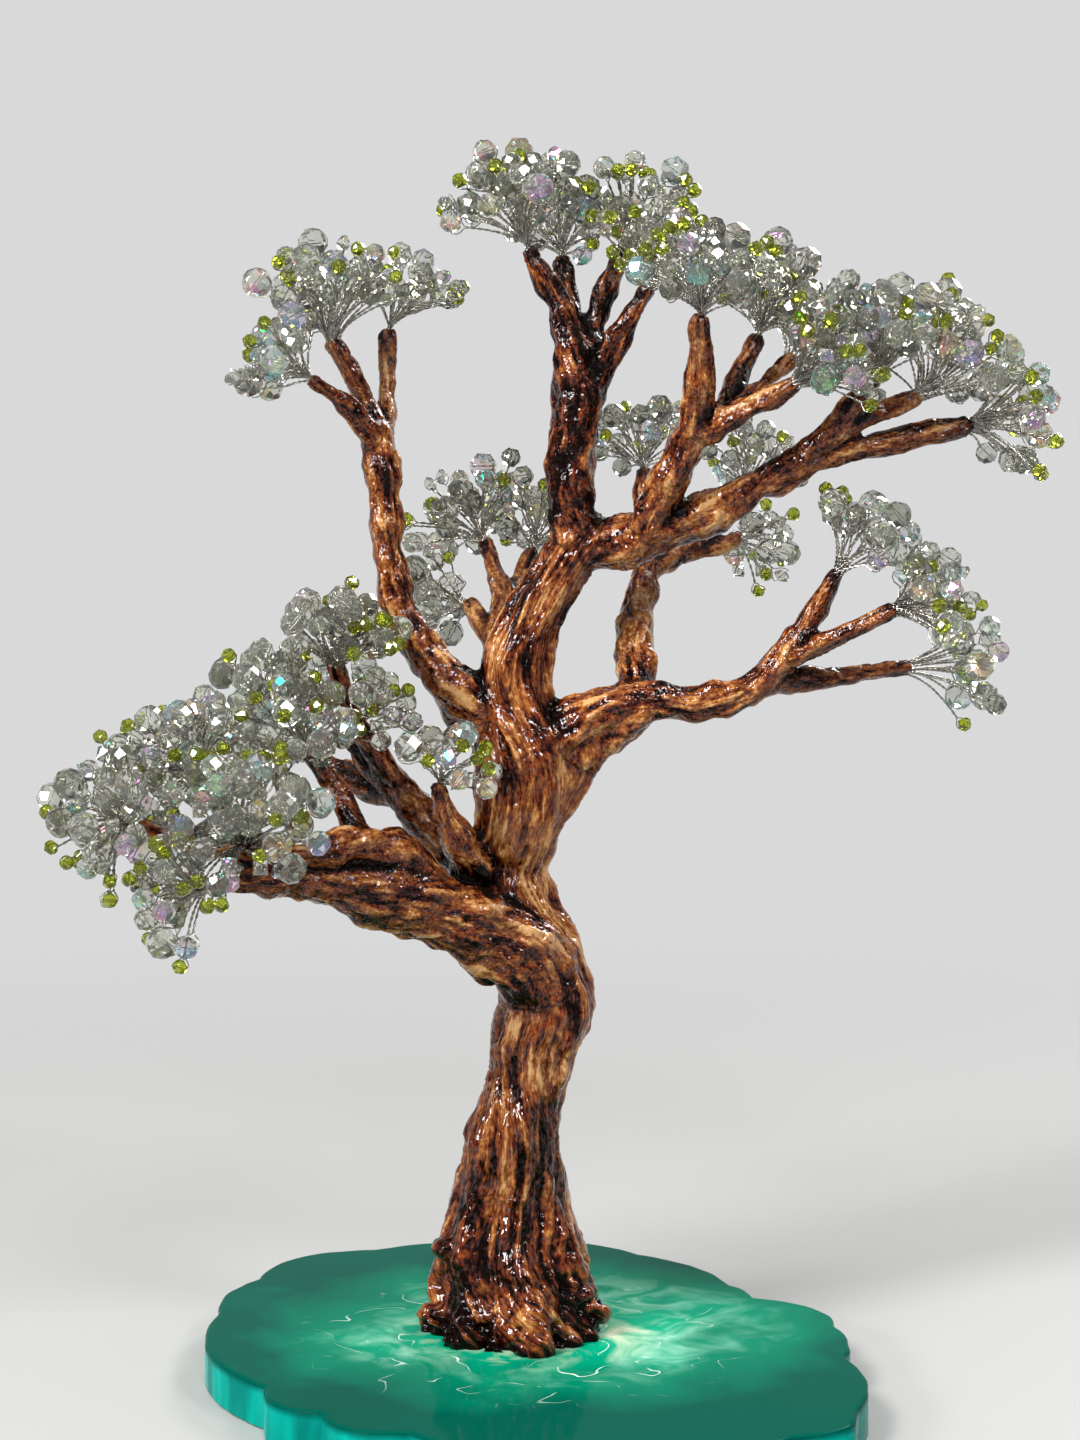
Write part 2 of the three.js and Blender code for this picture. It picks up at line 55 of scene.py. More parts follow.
Span = tuple[float, float]
Triple = tuple[float, float, float]
RoutePoint = tuple[float, float, float, float]
Tube = list[tuple[Vector, float]]  # points and radii in millimetres
Stops = tuple[tuple[float, str], ...]  # places and colours of a colour ramp


# Helpers


def linear(hex_colour: str) -> tuple[float, float, float, float]:
    """Turns an sRGB hex colour into linear light.

    Args:
        hex_colour: The colour as six hex digits after a hash sign.

    Returns:
        Linear red, green and blue, and an alpha of 1.
    """
    shares = [int(hex_colour[i:i + 2], 16) / 255 for i in (1, 3, 5)]
    red, green, blue = (s / 12.92 if s <= 0.04045 else ((s + 0.055) / 1.055) ** 2.4 for s in shares)
    return red, green, blue, 1.0


def smoothstep(low: float, high: float, value: float) -> float:
    """Eases from 0 at low to 1 at high."""
    share = min(1.0, max(0.0, (value - low) / (high - low)))
    return share * share * (3 - 2 * share)


def add_node(tree: NodeTree, kind: str, inputs: dict | None = None, stops: Stops = (),
             **settings: object) -> Node:
    """Adds a node with its settings, values and links.

    Args:
        tree: The node tree that takes the node.
        kind: The node's type, without the words that every shader node's type starts with.
        inputs: Input sockets by name or number. Each has a value, or the socket or node that feeds it.
        stops: Places and colours of a colour ramp.
        settings: The node's own properties.

    Returns:
        The new node.
    """
    node = tree.nodes.new("ShaderNode" + kind)
    for name, value in settings.items():
        setattr(node, name, value)
    for name, value in (inputs or {}).items():
        if isinstance(value, Node):
            value = next(socket for socket in value.outputs if socket.enabled)
        if isinstance(value, NodeSocket):
            tree.links.new(value, node.inputs[name])
        else:
            node.inputs[name].default_value = value
    for i, (place, colour) in enumerate(stops):
        elements = node.color_ramp.elements
        element = elements[i] if i < len(elements) else elements.new(place)
        element.position = place
        element.color = linear(colour)
    return node


def from_span(span: Span, unit: float = 1.0) -> dict[str, float]:
    """Sockets of a Map Range node for the values that become 0 and 1."""
    return {"From Min": span[0] * unit, "From Max": span[1] * unit}


def mesh_object(name: str, mesh: Mesh) -> Object:
    """Puts a mesh into the scene as an object at the origin.

    Args:
        name: The object's name.
        mesh: Its mesh.

    Returns:
        The object.
    """
    piece = bpy.data.objects.new(name, mesh)
    bpy.context.scene.collection.objects.link(piece)
    return piece


def form_object(name: str, form: bmesh.types.BMesh) -> Object:
    """Puts a form into the scene as an object at the origin, and frees it.

    Args:
        name: The name of the object and of its mesh.
        form: The form.

    Returns:
        The object.
    """
    mesh = bpy.data.meshes.new(name)
    form.to_mesh(mesh)
    form.free()
    return mesh_object(name, mesh)


def settled_mesh(source: Object) -> Mesh:
    """Takes an object's mesh with its modifiers or bevel applied, and deletes the object.

    Args:
        source: A mesh or curve object.

    Returns:
        The finished mesh.
    """
    evaluated = source.evaluated_get(bpy.context.evaluated_depsgraph_get())
    mesh = bpy.data.meshes.new_from_object(evaluated)
    bpy.data.objects.remove(source)
    return mesh


def tube_object(name: str, tubes: list[Tube], rounds: int) -> Object:
    """Sweeps a round section along paths, as one curve object.

    Args:
        name: The object's name.
        tubes: The paths, with their radii.
        rounds: The section's bevel resolution.

    Returns:
        The curve object.
    """
    curve = bpy.data.curves.new(name, "CURVE")
    curve.dimensions = "3D"
    curve.bevel_depth = MM
    curve.bevel_resolution = rounds
    curve.use_fill_caps = True
    for tube in tubes:
        spline = curve.splines.new("POLY")
        spline.points.add(len(tube) - 1)
        for point, (place, radius) in zip(spline.points, tube):
            point.co = (*(place * MM), 1.0)
            point.radius = radius
    piece = bpy.data.objects.new(name, curve)
    bpy.context.scene.collection.objects.link(piece)
    return piece


# Finishes


class Finish:
    """A finish that makes a node material under its own name."""

    name: str

    def shade(self, tree: NodeTree) -> Node:
        """Adds the finish's nodes.

        Args:
            tree: The material's empty node tree.

        Returns:
            The shader.
        """
        raise NotImplementedError

    def material(self) -> Material:
        """Builds the node material.

        Returns:
            The material.
        """
        material = bpy.data.materials.new(self.name)
        material.use_nodes = True
        tree = material.node_tree
        tree.nodes.clear()
        add_node(tree, "OutputMaterial", {"Surface": self.shade(tree)})
        return material


@dataclass(frozen=True)
class VarnishedBark(Finish):
    """Modelling compound, combed into fibres, stained brown and varnished.

    Stain pools dark in the grooves, the ridges stay golden, and the varnish gives small sharp glints.
    Streaks, flecks and glints are sized in the bark's own grain, which is stretched along the fibres.
    """

    name: str = "varnished_bark"
    # The bark's colours, dark to pale; the darkest also colour the painted shade of folds, joins and foot.
    stains_and_painted_shades: Stops = ((0.15, "#0a0302"), (0.28, "#2a0c05"), (0.44, "#5a230c"),
                     (0.6, "#77411a"), (0.74, "#965f2e"), (0.92, "#b98d5c"))
    roughness: float = 0.05
    ior: float = 1.42
    streak_mm: float = 1.4
    streak_weight: float = 1.2
    fleck_mm: float = 0.5
    fleck_weight: float = 0.9
    fleck_shape: Triple = (1.0, 1.0, 2.6)
    pit_mm: float = 1.8
    pit_weight: float = 0.7
    glint_mm: float = 1.9
    glint_depth_mm: float = 0.75
    glint_shape: Triple = (1.0, 1.0, 5.0)
    # Painted shade on the varnish: its reflection is dimmed where the tone is darkest.
    hollow_tone: Span = (0.1, 0.35)
    hollow_shine: Span = (0.15, 0.5)

    def shade(self, tree: NodeTree) -> Node:
        """Varies the bark's tone with streaks, flecks and pits, and dims the varnish's reflection in the
        dark hollows as painted shade.

        Args:
            tree: The material's empty node tree.

        Returns:
            The shader.
        """
        place = add_node(tree, "TexCoord").outputs["Object"]
        grain = add_node(tree, "Attribute", attribute_name="grain").outputs["Vector"]
        tone = add_node(tree, "Attribute", attribute_name="tone").outputs["Fac"]
        short = add_node(tree, "Mapping", {"Vector": grain, "Scale": self.fleck_shape})
        for vector, size, weight, detail, roughness in (
                (grain, self.streak_mm, self.streak_weight, 4.0, 0.65),
                (short, self.fleck_mm, self.fleck_weight, 2.0, 0.6),
                (place, self.pit_mm * MM, self.pit_weight, 3.0, 0.6)):
            pattern = add_node(tree, "TexNoise", {
                "Vector": vector, "Scale": 1 / size, "Detail": detail, "Roughness": roughness})
            tone = add_node(tree, "Math", {0: pattern, 1: weight, 2: tone}, operation="MULTIPLY_ADD")
        colour = add_node(tree, "ValToRGB", {"Fac": tone}, stops=self.stains_and_painted_shades)
        shorter = add_node(tree, "Mapping", {"Vector": grain, "Scale": self.glint_shape})
        relief = add_node(tree, "TexNoise", {"Vector": shorter, "Scale": 1 / self.glint_mm, "Detail": 1.0})
        bump = add_node(tree, "Bump", {
            "Height": relief, "Strength": 1.0, "Distance": self.glint_depth_mm * MM})
        # Painted shade: the reflection is dimmed in the darkest tones.
        shine = add_node(tree, "MapRange", {
            "Value": tone, "To Min": self.hollow_shine[0], "To Max": self.hollow_shine[1],
            **from_span(self.hollow_tone)})
        return add_node(tree, "BsdfPrincipled", {
            "Base Color": colour, "Roughness": self.roughness, "IOR": self.ior,
            "Specular IOR Level": shine, "Normal": bump})


@dataclass(frozen=True)
class CastResin(Finish):
    """Epoxy casting resin tinted teal, poured, with white pigment drawn into wisps near the trunk.

    It is deep and glassy: dark where it is thick towards the rim, emerald over the pale pigment.
    Each noise is given by its size in millimetres, its detail and its distortion.
    """

    name: str = "cast_teal_resin"
    depths: Stops = ((0.0, "#029671"), (0.45, "#016f53"), (1.0, "#01483b"))
    depth_mm: Span = (26.0, 88.0)
    milk: str = "#97cbb6"
    cream: str = "#cbd0b2"
    wisp: str = "#f2f9f3"
    roughness: float = 0.07
    ior: float = 1.052
    middle_mm: Span = (-3.0, 4.0)
    pour_shift_mm: Span = (7.0, 5.0)
    pour_squeeze: float = 1.3
    drift_mm: float = 60.0
    clouds: Triple = (30.0, 4.0, 0.6)
    swirls: Triple = (15.0, 5.0, 1.3)
    swirl_levels: Span = (0.43, 0.75)
    swirl_fade_mm: Span = (60.0, 28.0)
    cream_fade_mm: Span = (38.0, 24.0)
    veins: Triple = (15.0, 1.4, 0.5)
    vein_levels: Span = (0.009, 0.001)
    patches: Triple = (14.0, 2.0, 0.0)
    patch_levels: Span = (0.51, 0.62)
    patch_fade_mm: Span = (62.0, 38.0)

    def shade(self, tree: NodeTree) -> Node:
        """Pours the resin round the trunk's foot, with milky swirls and thin wisps.

        Args:
            tree: The material's empty node tree.

        Returns:
            The shader.
        """
        place = add_node(tree, "TexCoord").outputs["Object"]
        middle = (-self.middle_mm[0] * MM, -self.middle_mm[1] * MM, 0.0)
        centred = add_node(tree, "Mapping", {"Vector": place, "Location": middle})
        flat = add_node(tree, "VectorMath", {0: centred, 1: (1.0, 1.0, 0.0)}, operation="MULTIPLY")
        distance = add_node(tree, "VectorMath", {0: flat}, operation="LENGTH")
        aside = (-self.pour_shift_mm[0] * MM, -self.pour_squeeze * self.pour_shift_mm[1] * MM, 0.0)
        pour = add_node(tree, "Mapping", {
            "Vector": flat, "Location": aside, "Scale": (1.0, self.pour_squeeze, 1.0)})
        poured = add_node(tree, "VectorMath", {0: pour}, operation="LENGTH")
        clouds, swirls, veins, patches = (
            add_node(tree, "TexNoise", {
                "Vector": flat, "Scale": 1 / (size * MM), "Detail": detail, "Distortion": distortion})
            for size, detail, distortion in (self.clouds, self.swirls, self.veins, self.patches))
        drift = add_node(tree, "Math", {
            0: clouds, 1: self.drift_mm * MM, 2: -0.5 * self.drift_mm * MM}, operation="MULTIPLY_ADD")
        drifted = add_node(tree, "Math", {0: poured, 1: drift}, operation="ADD")
        outward = add_node(tree, "MapRange", {"Value": drifted, **from_span(self.depth_mm, MM)})
        colour = add_node(tree, "ValToRGB", {"Fac": outward}, stops=self.depths)
        milky = self._masked(tree, swirls, self.swirl_levels, drifted, self.swirl_fade_mm)
        creamy = add_node(tree, "MapRange", {"Value": distance, **from_span(self.cream_fade_mm, MM)})
        vein = add_node(tree, "Math", {0: veins, 1: 0.5}, operation="SUBTRACT")
        line = add_node(tree, "Math", {0: vein}, operation="ABSOLUTE")
        thin = add_node(tree, "MapRange", {"Value": line, **from_span(self.vein_levels)})
        some = self._masked(tree, patches, self.patch_levels, distance, self.patch_fade_mm)
        wisps = add_node(tree, "Math", {0: thin, 1: some}, operation="MULTIPLY")
        white = add_node(tree, "Mix", {
            MIX_SHARE: creamy, MIX_FIRST: linear(self.milk), MIX_SECOND: linear(self.cream)},
            data_type="RGBA")
        for share, layer in ((milky, white), (wisps, linear(self.wisp))):
            colour = add_node(tree, "Mix", {
                MIX_SHARE: share, MIX_FIRST: colour, MIX_SECOND: layer}, data_type="RGBA")
        return add_node(tree, "BsdfPrincipled", {
            "Base Color": colour, "Roughness": self.roughness, "IOR": self.ior})

    @staticmethod
    def _masked(tree: NodeTree, value: Node, levels: Span, distance: Node, fade_mm: Span) -> Node:
        """Keeps a noise between two levels, and fades it out with the distance from the foot.

        Args:
            tree: The node tree.
            value: The noise.
            levels: The noise's values that give none and all.
            distance: The distance from the foot.
            fade_mm: The distances that give none and all, in millimetres.

        Returns:
            The node that gives the share.
        """
        level = add_node(tree, "MapRange", {"Value": value, **from_span(levels)})
        near = add_node(tree, "MapRange", {"Value": distance, **from_span(fade_mm, MM)})
        return add_node(tree, "Math", {0: level, 1: near}, operation="MULTIPLY")


@dataclass(frozen=True)
class ResinEdge(Finish):
    """The broken rim of the same resin, where light comes through and the teal shows bright."""

    name: str = "teal_resin_edge"
    depths: Stops = ((0.36, "#03655c"), (0.66, "#04988a"))
    brink: str = "#013b33"
    brink_mm: Span = (8.8, 10.6)
    roughness: float = 0.1
    ior: float = 1.06
    glow: float = 0.4
    glow_mm: Triple = (2.0, 8.0, 7.0)
    ripple_mm: float = 8.0
    ripple_shape: Triple = (1.0, 1.0, 0.2)
    ripple_depth_mm: float = 0.6
    ripple_strength: float = 0.3

    def shade(self, tree: NodeTree) -> Node:
        """Runs upright ripples down the rim from its dark upper edge.

        Args:
            tree: The material's empty node tree.

        Returns:
            The shader.
        """
        place = add_node(tree, "TexCoord").outputs["Object"]
        upright = add_node(tree, "Mapping", {"Vector": place, "Scale": self.ripple_shape})
        ripple = add_node(tree, "TexNoise", {
            "Vector": upright, "Scale": 1 / (self.ripple_mm * MM), "Detail": 2.0})
        colour = add_node(tree, "ValToRGB", {"Fac": ripple}, stops=self.depths)
        height = add_node(tree, "SeparateXYZ", {0: place}).outputs["Z"]
        upper = add_node(tree, "MapRange", {"Value": height, **from_span(self.brink_mm, MM)})
        edged = add_node(tree, "Mix", {
            MIX_SHARE: upper, MIX_FIRST: colour, MIX_SECOND: linear(self.brink)}, data_type="RGBA")
        bump = add_node(tree, "Bump", {
            "Height": ripple, "Strength": self.ripple_strength, "Distance": self.ripple_depth_mm * MM})
        return add_node(tree, "BsdfPrincipled", {
            "Base Color": edged, "Roughness": self.roughness, "IOR": self.ior, "Normal": bump,
            "Subsurface Weight": self.glow, "Subsurface Radius": [depth * MM for depth in self.glow_mm]})


@dataclass(frozen=True)
class DrawnWire(Finish):
    """Silver-plated craft wire, drawn bright, with small dull patches from the pliers."""

    name: str = "drawn_silver_wire"
    metals: Stops = ((0.35, "#8d8a83"), (0.6, "#c9c6be"))
    roughness: float = 0.18
    patch_mm: float = 2.5

    def shade(self, tree: NodeTree) -> Node:
        """Dulls the metal in patches.

        Args:
            tree: The material's empty node tree.

        Returns:
            The shader.
        """
        place = add_node(tree, "TexCoord").outputs["Object"]
        patches = add_node(tree, "TexNoise", {
            "Vector": place, "Scale": 1 / (self.patch_mm * MM), "Detail": 2.0})
        colour = add_node(tree, "ValToRGB", {"Fac": patches}, stops=self.metals)
        return add_node(tree, "BsdfPrincipled", {
            "Base Color": colour, "Metallic": 1.0, "Roughness": self.roughness})


@dataclass(frozen=True)
class CutGlass(Finish):
    """Fire-polished cut glass; some beads have a thin metal-oxide coat that flashes blue and violet.

    Each bead's coat has its own thickness, so neighbours flash in different colours.
    """

    name: str
    tint: str
    film_nm: Span | None = None
    film_ior: float = 2.2
    roughness: float = 0.03
    ior: float = 1.5
    clearness: float = 0.95

    def shade(self, tree: NodeTree) -> Node:
        """Makes clear tinted glass, with a film where the bead is coated.

        Args:
            tree: The material's empty node tree.

        Returns:
            The shader.
        """
        inputs = {"Base Color": linear(self.tint), "Roughness": self.roughness, "IOR": self.ior,
                  "Transmission Weight": self.clearness}
        if self.film_nm:
            coat = add_node(tree, "Attribute", attribute_name="coat").outputs["Fac"]
            inputs["Thin Film IOR"] = self.film_ior
            inputs["Thin Film Thickness"] = add_node(tree, "MapRange", {
                "Value": coat, "To Min": self.film_nm[0], "To Max": self.film_nm[1]})
        return add_node(tree, "BsdfPrincipled", inputs)


# Routes


@dataclass(frozen=True)
class Twig:
    """A limb or fork.

    Attributes:
        route: Points of the bark's middle line with its radius, in millimetres, from root to tip.
        aim: The way that the spray at the tip leans.
        reach: How far the spray's beads stand from the tip, in millimetres.
        stems: How many stems the spray has.
        spread: How far the outermost stems lean from the aim, in degrees.
    """

    route: tuple[RoutePoint, ...]
    aim: Triple = (0.0, 0.0, 1.0)
    reach: float = 0.0
    stems: int = 0
    spread: float = 52.0


TRUNK = Twig((
    (-7, 8, 11.3, 24), (-7, 8, 21, 21), (-8, 8, 34, 17.5), (-8, 8, 46, 14.2), (-7, 6, 61, 12.6),
    (-3, 5, 77, 10.8), (-1, 4, 87, 11.6), (2, 3, 98, 12), (-2, 5, 112, 11.2), (-8, 7, 131, 9.4),
    (-5, 5, 149, 12.6), (-5, 5, 163, 12.8), (-7, 5, 180, 9.6), (-2, 5, 196, 7.8), (5, 4, 208, 7.6),
    (12, 3, 217, 8)))

LIMBS: dict[str, tuple[Twig, ...]] = {
    "left_low": (
        Twig(((-3, 5, 64, 6), (0, 4, 81, 7), (3, 2, 96, 9.6), (-4, -3, 109, 10.6), (-16, -9, 118, 10.4),
              (-28, -16, 125, 9), (-42, -24, 130, 8), (-57, -33, 134, 5.5), (-76, -48, 134, 2.4)),
             (-1, -0.25, 0), 23, 46, 60),
        Twig(((-52, -30, 133, 4.5), (-78, -40, 142, 3.2), (-96, -44, 148, 2.3)),
             (-0.85, -0.3, 0.3), 24, 60, 88),
        Twig(((-70, -37, 140, 3), (-77, -31, 150, 2.6), (-83, -26, 158, 2.3)),
             (-0.5, -0.4, 0.8), 24, 70, 88),
    ),
    "left_front": (
        Twig(((-24, -14, 125, 5), (-34, -20, 138, 5.4), (-46, -31, 141, 4.8), (-58, -42, 141, 3.4),
              (-68, -51, 144, 2.3)), (-0.35, -0.55, 0.65), 26, 84, 86),
        Twig(((-43, -27, 141, 3.6), (-49, -23, 152, 3), (-56, -21, 162, 2.3)),
             (-0.4, -0.3, 0.85), 25, 60, 80),
    ),
    "left_mid": (
        Twig(((-8, 5, 126, 6), (-21, 0, 137, 6.6), (-31, -2, 147, 5.6), (-39, -2, 156, 4.5),
              (-48, -3, 165, 2.4)), (0.1, -0.35, 0.9), 22, 40, 66),
        Twig(((-34, -2, 150, 4), (-52, 7, 157, 3), (-67, 14, 167, 2.3)), (-0.35, 0.15, 0.9), 27, 46, 62),
        Twig(((-36, -2, 153, 4), (-45, -10, 168, 3), (-51, -14, 184, 2.3)), (0.15, -0.15, 1), 22, 50, 66),
        Twig(((-17, -3, 132, 5.5), (-22, -15, 144, 3.8), (-25, -19, 154, 2.3)),
             (0.35, -0.4, 0.85), 19, 18, 55),
    ),
    "left_high": (
        Twig(((-8, 5, 166, 8), (-21, 4, 178, 7.4), (-30, 4, 188, 5.7), (-36, 4, 200, 4.6),
              (-39, 4, 215, 4.1), (-41, 4, 238, 4.5), (-45, 4, 253, 3.5), (-52, 2, 266, 2.4)),
             (-0.05, -0.1, 1), 29, 46, 50),
        Twig(((-41, 4, 240, 3.4), (-48, -3, 250, 2.6), (-56, -8, 256, 2.3)), (-0.8, -0.15, 0.7), 23, 40),
        Twig(((-41, 5, 240, 3.2), (-40, 12, 256, 2.5), (-40, 17, 270, 2.3)), (0.35, 0.2, 0.95), 27, 24, 42),
    ),
    "crown": (
        Twig(((10, 3, 214, 7.4), (8, 0, 230, 5.8), (8.5, -1, 240, 6.2), (10, -2, 253, 7.2),
              (9, -2.5, 263, 6), (4, -4, 277, 3.7), (-2, -6, 288, 2.3)), (-0.35, -0.15, 0.95), 29, 44),
        Twig(((9, -1, 264, 3.6), (8, 5, 276, 2.8), (6, 10, 288, 2.3)), (0, 0.4, 0.95), 26, 34, 50),
        Twig(((10, -2, 258, 4.4), (16, 3, 278, 3.2), (22, 8, 292, 2.3)), (0.2, 0.3, 0.95), 25, 34, 50),
        Twig(((10, -2, 248, 4.6), (18, -5, 264, 3.6), (26, -9, 278, 2.4)), (0.3, -0.1, 0.95), 26, 44, 55),
    ),
    "right_high": (
        Twig(((9, 3, 213, 6.4), (28, 0, 219, 7), (43, -3, 224, 5.6), (57, -6, 232, 4.8), (72, -8, 239, 4.4),
              (88, -8, 241, 3.5), (106, -8, 245, 2.5)), (0.95, 0.05, 0.15), 26, 44),
        Twig(((66, -8, 237, 3.8), (76, -14, 247, 3.2), (82, -19, 255, 2.4)),
             (0.05, -0.25, 0.95), 27, 46, 55),
        Twig(((71, -11, 242, 3.2), (81, -13, 247, 2.9), (92, -14, 251, 2.3)), (0.5, 0.1, 0.85), 31, 46),
    ),
    "right_front": (
        Twig(((25, 0, 218, 5.6), (34, -10, 233, 5.2), (38, -17, 245, 4.8), (39, -23, 255, 3.7),
              (39, -30, 268, 2.4)), (0, -0.3, 0.95), 27, 50, 58),
        Twig(((37, -15, 242, 4), (50, -22, 248, 3.5), (62, -28, 254, 2.3)), (0.75, -0.35, 0.6), 24, 44, 58),
        Twig(((45, -19, 246, 3.2), (49, -13, 256, 2.7), (54, -7, 266, 2.3)), (0.3, 0.25, 0.9), 29, 42),
        Twig(((50, -20, 249, 2.8), (56, -14, 255, 2.5), (62, -9, 261, 2.3)), (0.6, 0.3, 0.8), 26, 36, 50),
    ),
    "right_low": (
        Twig(((-4, 5, 162, 9), (14, 4, 172, 7.4), (28, 4, 176, 5.8), (41, 2, 175, 4.7), (54, 0, 179, 4.5),
              (63, -2, 188, 4.2), (75, -2, 207, 2.3)), (0.5, -0.1, 0.85), 25, 26, 45),
        Twig(((60, -1, 185, 3.6), (76, -8, 193, 2.9), (87, -12, 198, 2.3)), (0.85, -0.25, 0.35), 24, 34),
        Twig(((56, 0, 181, 3.6), (77, 5, 182, 2.8), (94, 9, 184, 2.3)), (1, 0.2, 0), 28, 26, 40),
    ),
    "rear_right": (
        Twig(((25, 5, 175, 5), (25, 17, 190, 5.3), (27, 30, 205, 4.2), (29, 39, 214, 3.8),
              (29, 48, 226, 3.2), (29, 56, 237, 2.4)), (-0.1, 0.4, 0.9), 24, 34, 55),
        Twig(((28, 35, 209, 3.3), (44, 47, 218, 2.7), (57, 62, 234, 2.3)), (0.25, 0.5, 0.8), 22, 30, 55),
        Twig(((40, 43, 214, 2.7), (47, 47, 216, 2.4), (54, 50, 219, 2.3)), (0.6, 0.4, -0.1), 19, 22, 55),
    ),
    "rear_left": (
        Twig(((-7, 8, 172, 6), (-11, 23, 179, 4.8), (-12, 34, 191, 3.7), (-10, 44, 202, 3.3),
              (-15, 56, 217, 2.4)), (-0.45, 0.4, 0.8), 26, 38, 58),
        Twig(((-12, 30, 187, 2.9), (-15, 38, 194, 2.5), (-19, 46, 200, 2.3)),
             (-0.85, 0.35, 0.15), 22, 28, 55),
        Twig(((-10, 44, 201, 2.6), (-7, 53, 207, 2.4), (-3, 61, 215, 2.3)), (0.3, 0.45, 0.85), 24, 32, 55),
    ),
}


@dataclass(frozen=True)
class Ridges:
    """Ridges of the bark that run along a branch and turn slowly round it.

    Attributes:
        count: How many there are round the branch.
        depth: Their height, against the branch's radius.
        turn: How far they turn over the branch's length, in radians.
    """

    count: int
    depth: float
    turn: float = 0.0


LIMB_RIDGES = (Ridges(3, 0.06, 7.0),)
TRUNK_RIDGES = (Ridges(7, 0.07, 5.0), Ridges(2, 0.05, -18.0))
ROOTS = (Ridges(5, 0.05), Ridges(8, 0.04))
ROOT_SHARE = 0.1


@dataclass(frozen=True)
class Station:
    """A place on a branch's middle line, with the directions across it, all in millimetres."""

    branch: int
    centre: Vector
    radius: float
    along: float
    share: float
    ahead: Vector
    across: Vector
    beside: Vector


def route_point(route: tuple[RoutePoint, ...], first: int, share: float) -> tuple[Vector, float]:
    """Finds a point of the smooth curve through a route.

    Args:
        route: The route's points and radii.
        first: The point that starts the stretch.
        share: How far along the stretch the point is, from 0 to 1.

    Returns:
        The point and the bark's radius there.
    """
    points = [Vector(p[:3]) for p in route]
    start, end = points[first], points[first + 1]
    before = points[first - 1] if first else 2 * start - end
    after = points[first + 2] if first + 2 < len(points) else 2 * end - start
    knots = [0.0]
    for a, b in ((before, start), (start, end), (end, after)):
        knots.append(knots[-1] + math.sqrt((b - a).length))
    t = knots[1] + share * (knots[2] - knots[1])

    def between(a: Vector, b: Vector, low: float, high: float) -> Vector:
        """Point on the line through a and b at the knot t."""
        return a + (b - a) * ((t - low) / (high - low))

    a1 = between(before, start, knots[0], knots[1])
    a2 = between(start, end, knots[1], knots[2])
    a3 = between(end, after, knots[2], knots[3])
    b1 = between(a1, a2, knots[0], knots[2])
    b2 = between(a2, a3, knots[1], knots[3])
    radius = route[first][3] + share * (route[first + 1][3] - route[first][3])
    return between(b1, b2, knots[1], knots[2]), radius


def square_to(ahead: Vector) -> Vector:
    """Finds the direction across a branch's start that its ridges are counted from.

    Args:
        ahead: The way that the branch starts.

    Returns:
        A direction square to it.
    """
    least = min(range(3), key=lambda i: (round(abs(ahead[i]), 3), -i))
    axis = Vector([float(i == least) for i in range(3)])
    return ahead.cross(ahead.cross(axis)).normalized()


def stations_of(twig: Twig, branch: int, step: float = 1.6) -> list[Station]:
    """Walks a branch from root to tip.

    Args:
        twig: The branch.
        branch: Its number, kept in each station.
        step: About how far apart the stations are, in millimetres.

    Returns:
        The stations in order.
    """
    line = []
    for first in range(len(twig.route) - 1):
        gap = (Vector(twig.route[first + 1][:3]) - Vector(twig.route[first][:3])).length
        count = max(2, round(gap / step))
        line += [route_point(twig.route, first, i / count) for i in range(count)]
    line.append(route_point(twig.route, len(twig.route) - 2, 1.0))
    gaps = [(after[0] - before[0]).length for before, after in zip(line, line[1:])]
    across = square_to((line[1][0] - line[0][0]).normalized())
    stations = []
    for i, (centre, radius) in enumerate(line):
        ahead = (line[min(i + 1, len(line) - 1)][0] - line[max(i - 1, 0)][0]).normalized()
        across = (across - ahead * across.dot(ahead)).normalized()
        along = sum(gaps[:i])
        beside = ahead.cross(across)
        stations.append(Station(branch, centre, radius, along, along / sum(gaps), ahead, across, beside))
    return stations


def all_branches() -> list[list[Station]]:
    """Stations of the trunk and of every limb and fork."""
    twigs = [TRUNK, *(twig for limb in LIMBS.values() for twig in limb)]
    return [stations_of(twig, number) for number, twig in enumerate(twigs)]


# Sub-assemblies


@dataclass(frozen=True)
class BarkRelief:
    """Sizes of the bark's relief: lengths and heights in millimetres, and shares of a branch's radius."""

    ridge: float = 2.5
    ridge_weight: float = 0.8
    fibre: float = 1.2
    fibre_weight: float = 0.4
    fibre_shift: Triple = (9.0, 4.0, 2.0)
    height_share: float = 0.085
    height_range: Span = (0.4, 0.9)
    stretch: Span = (9.0, 4.5)
    twist: float = 0.014
    wander: float = 0.6
    wander_rate: float = 0.03
    wander_shift: float = 3.7
    branch_shift: float = 31.0
    groove_edge: Span = (0.02, 0.2)
    groove_fibre: float = 0.3
    groove_weight: float = 0.8
    lump: float = 8.0
    lump_weight: float = 0.8
    bulge: float = 10.0
    bulge_share: float = 0.4
    bulge_most: float = 1.7
    bulge_shift: Triple = (5.0, 1.0, 7.0)
    knurl: float = 4.2
    knurl_share: float = 0.22
    knurl_most: float = 1.1
    knurl_shift: Triple = (2.0, 8.0, 3.0)
    trunk_rough: float = 0.5
    gnarl_z: Span = (40.0, 14.0)
    knot: float = 2.6
    pit_edge: Span = (0.1, 0.4)
    pit_depth: float = 1.1
    blend: float = 4.0
    crease: float = 3.5
    crease_apart: Span = (0.3, 0.8)
    crease_depth: float = 0.3


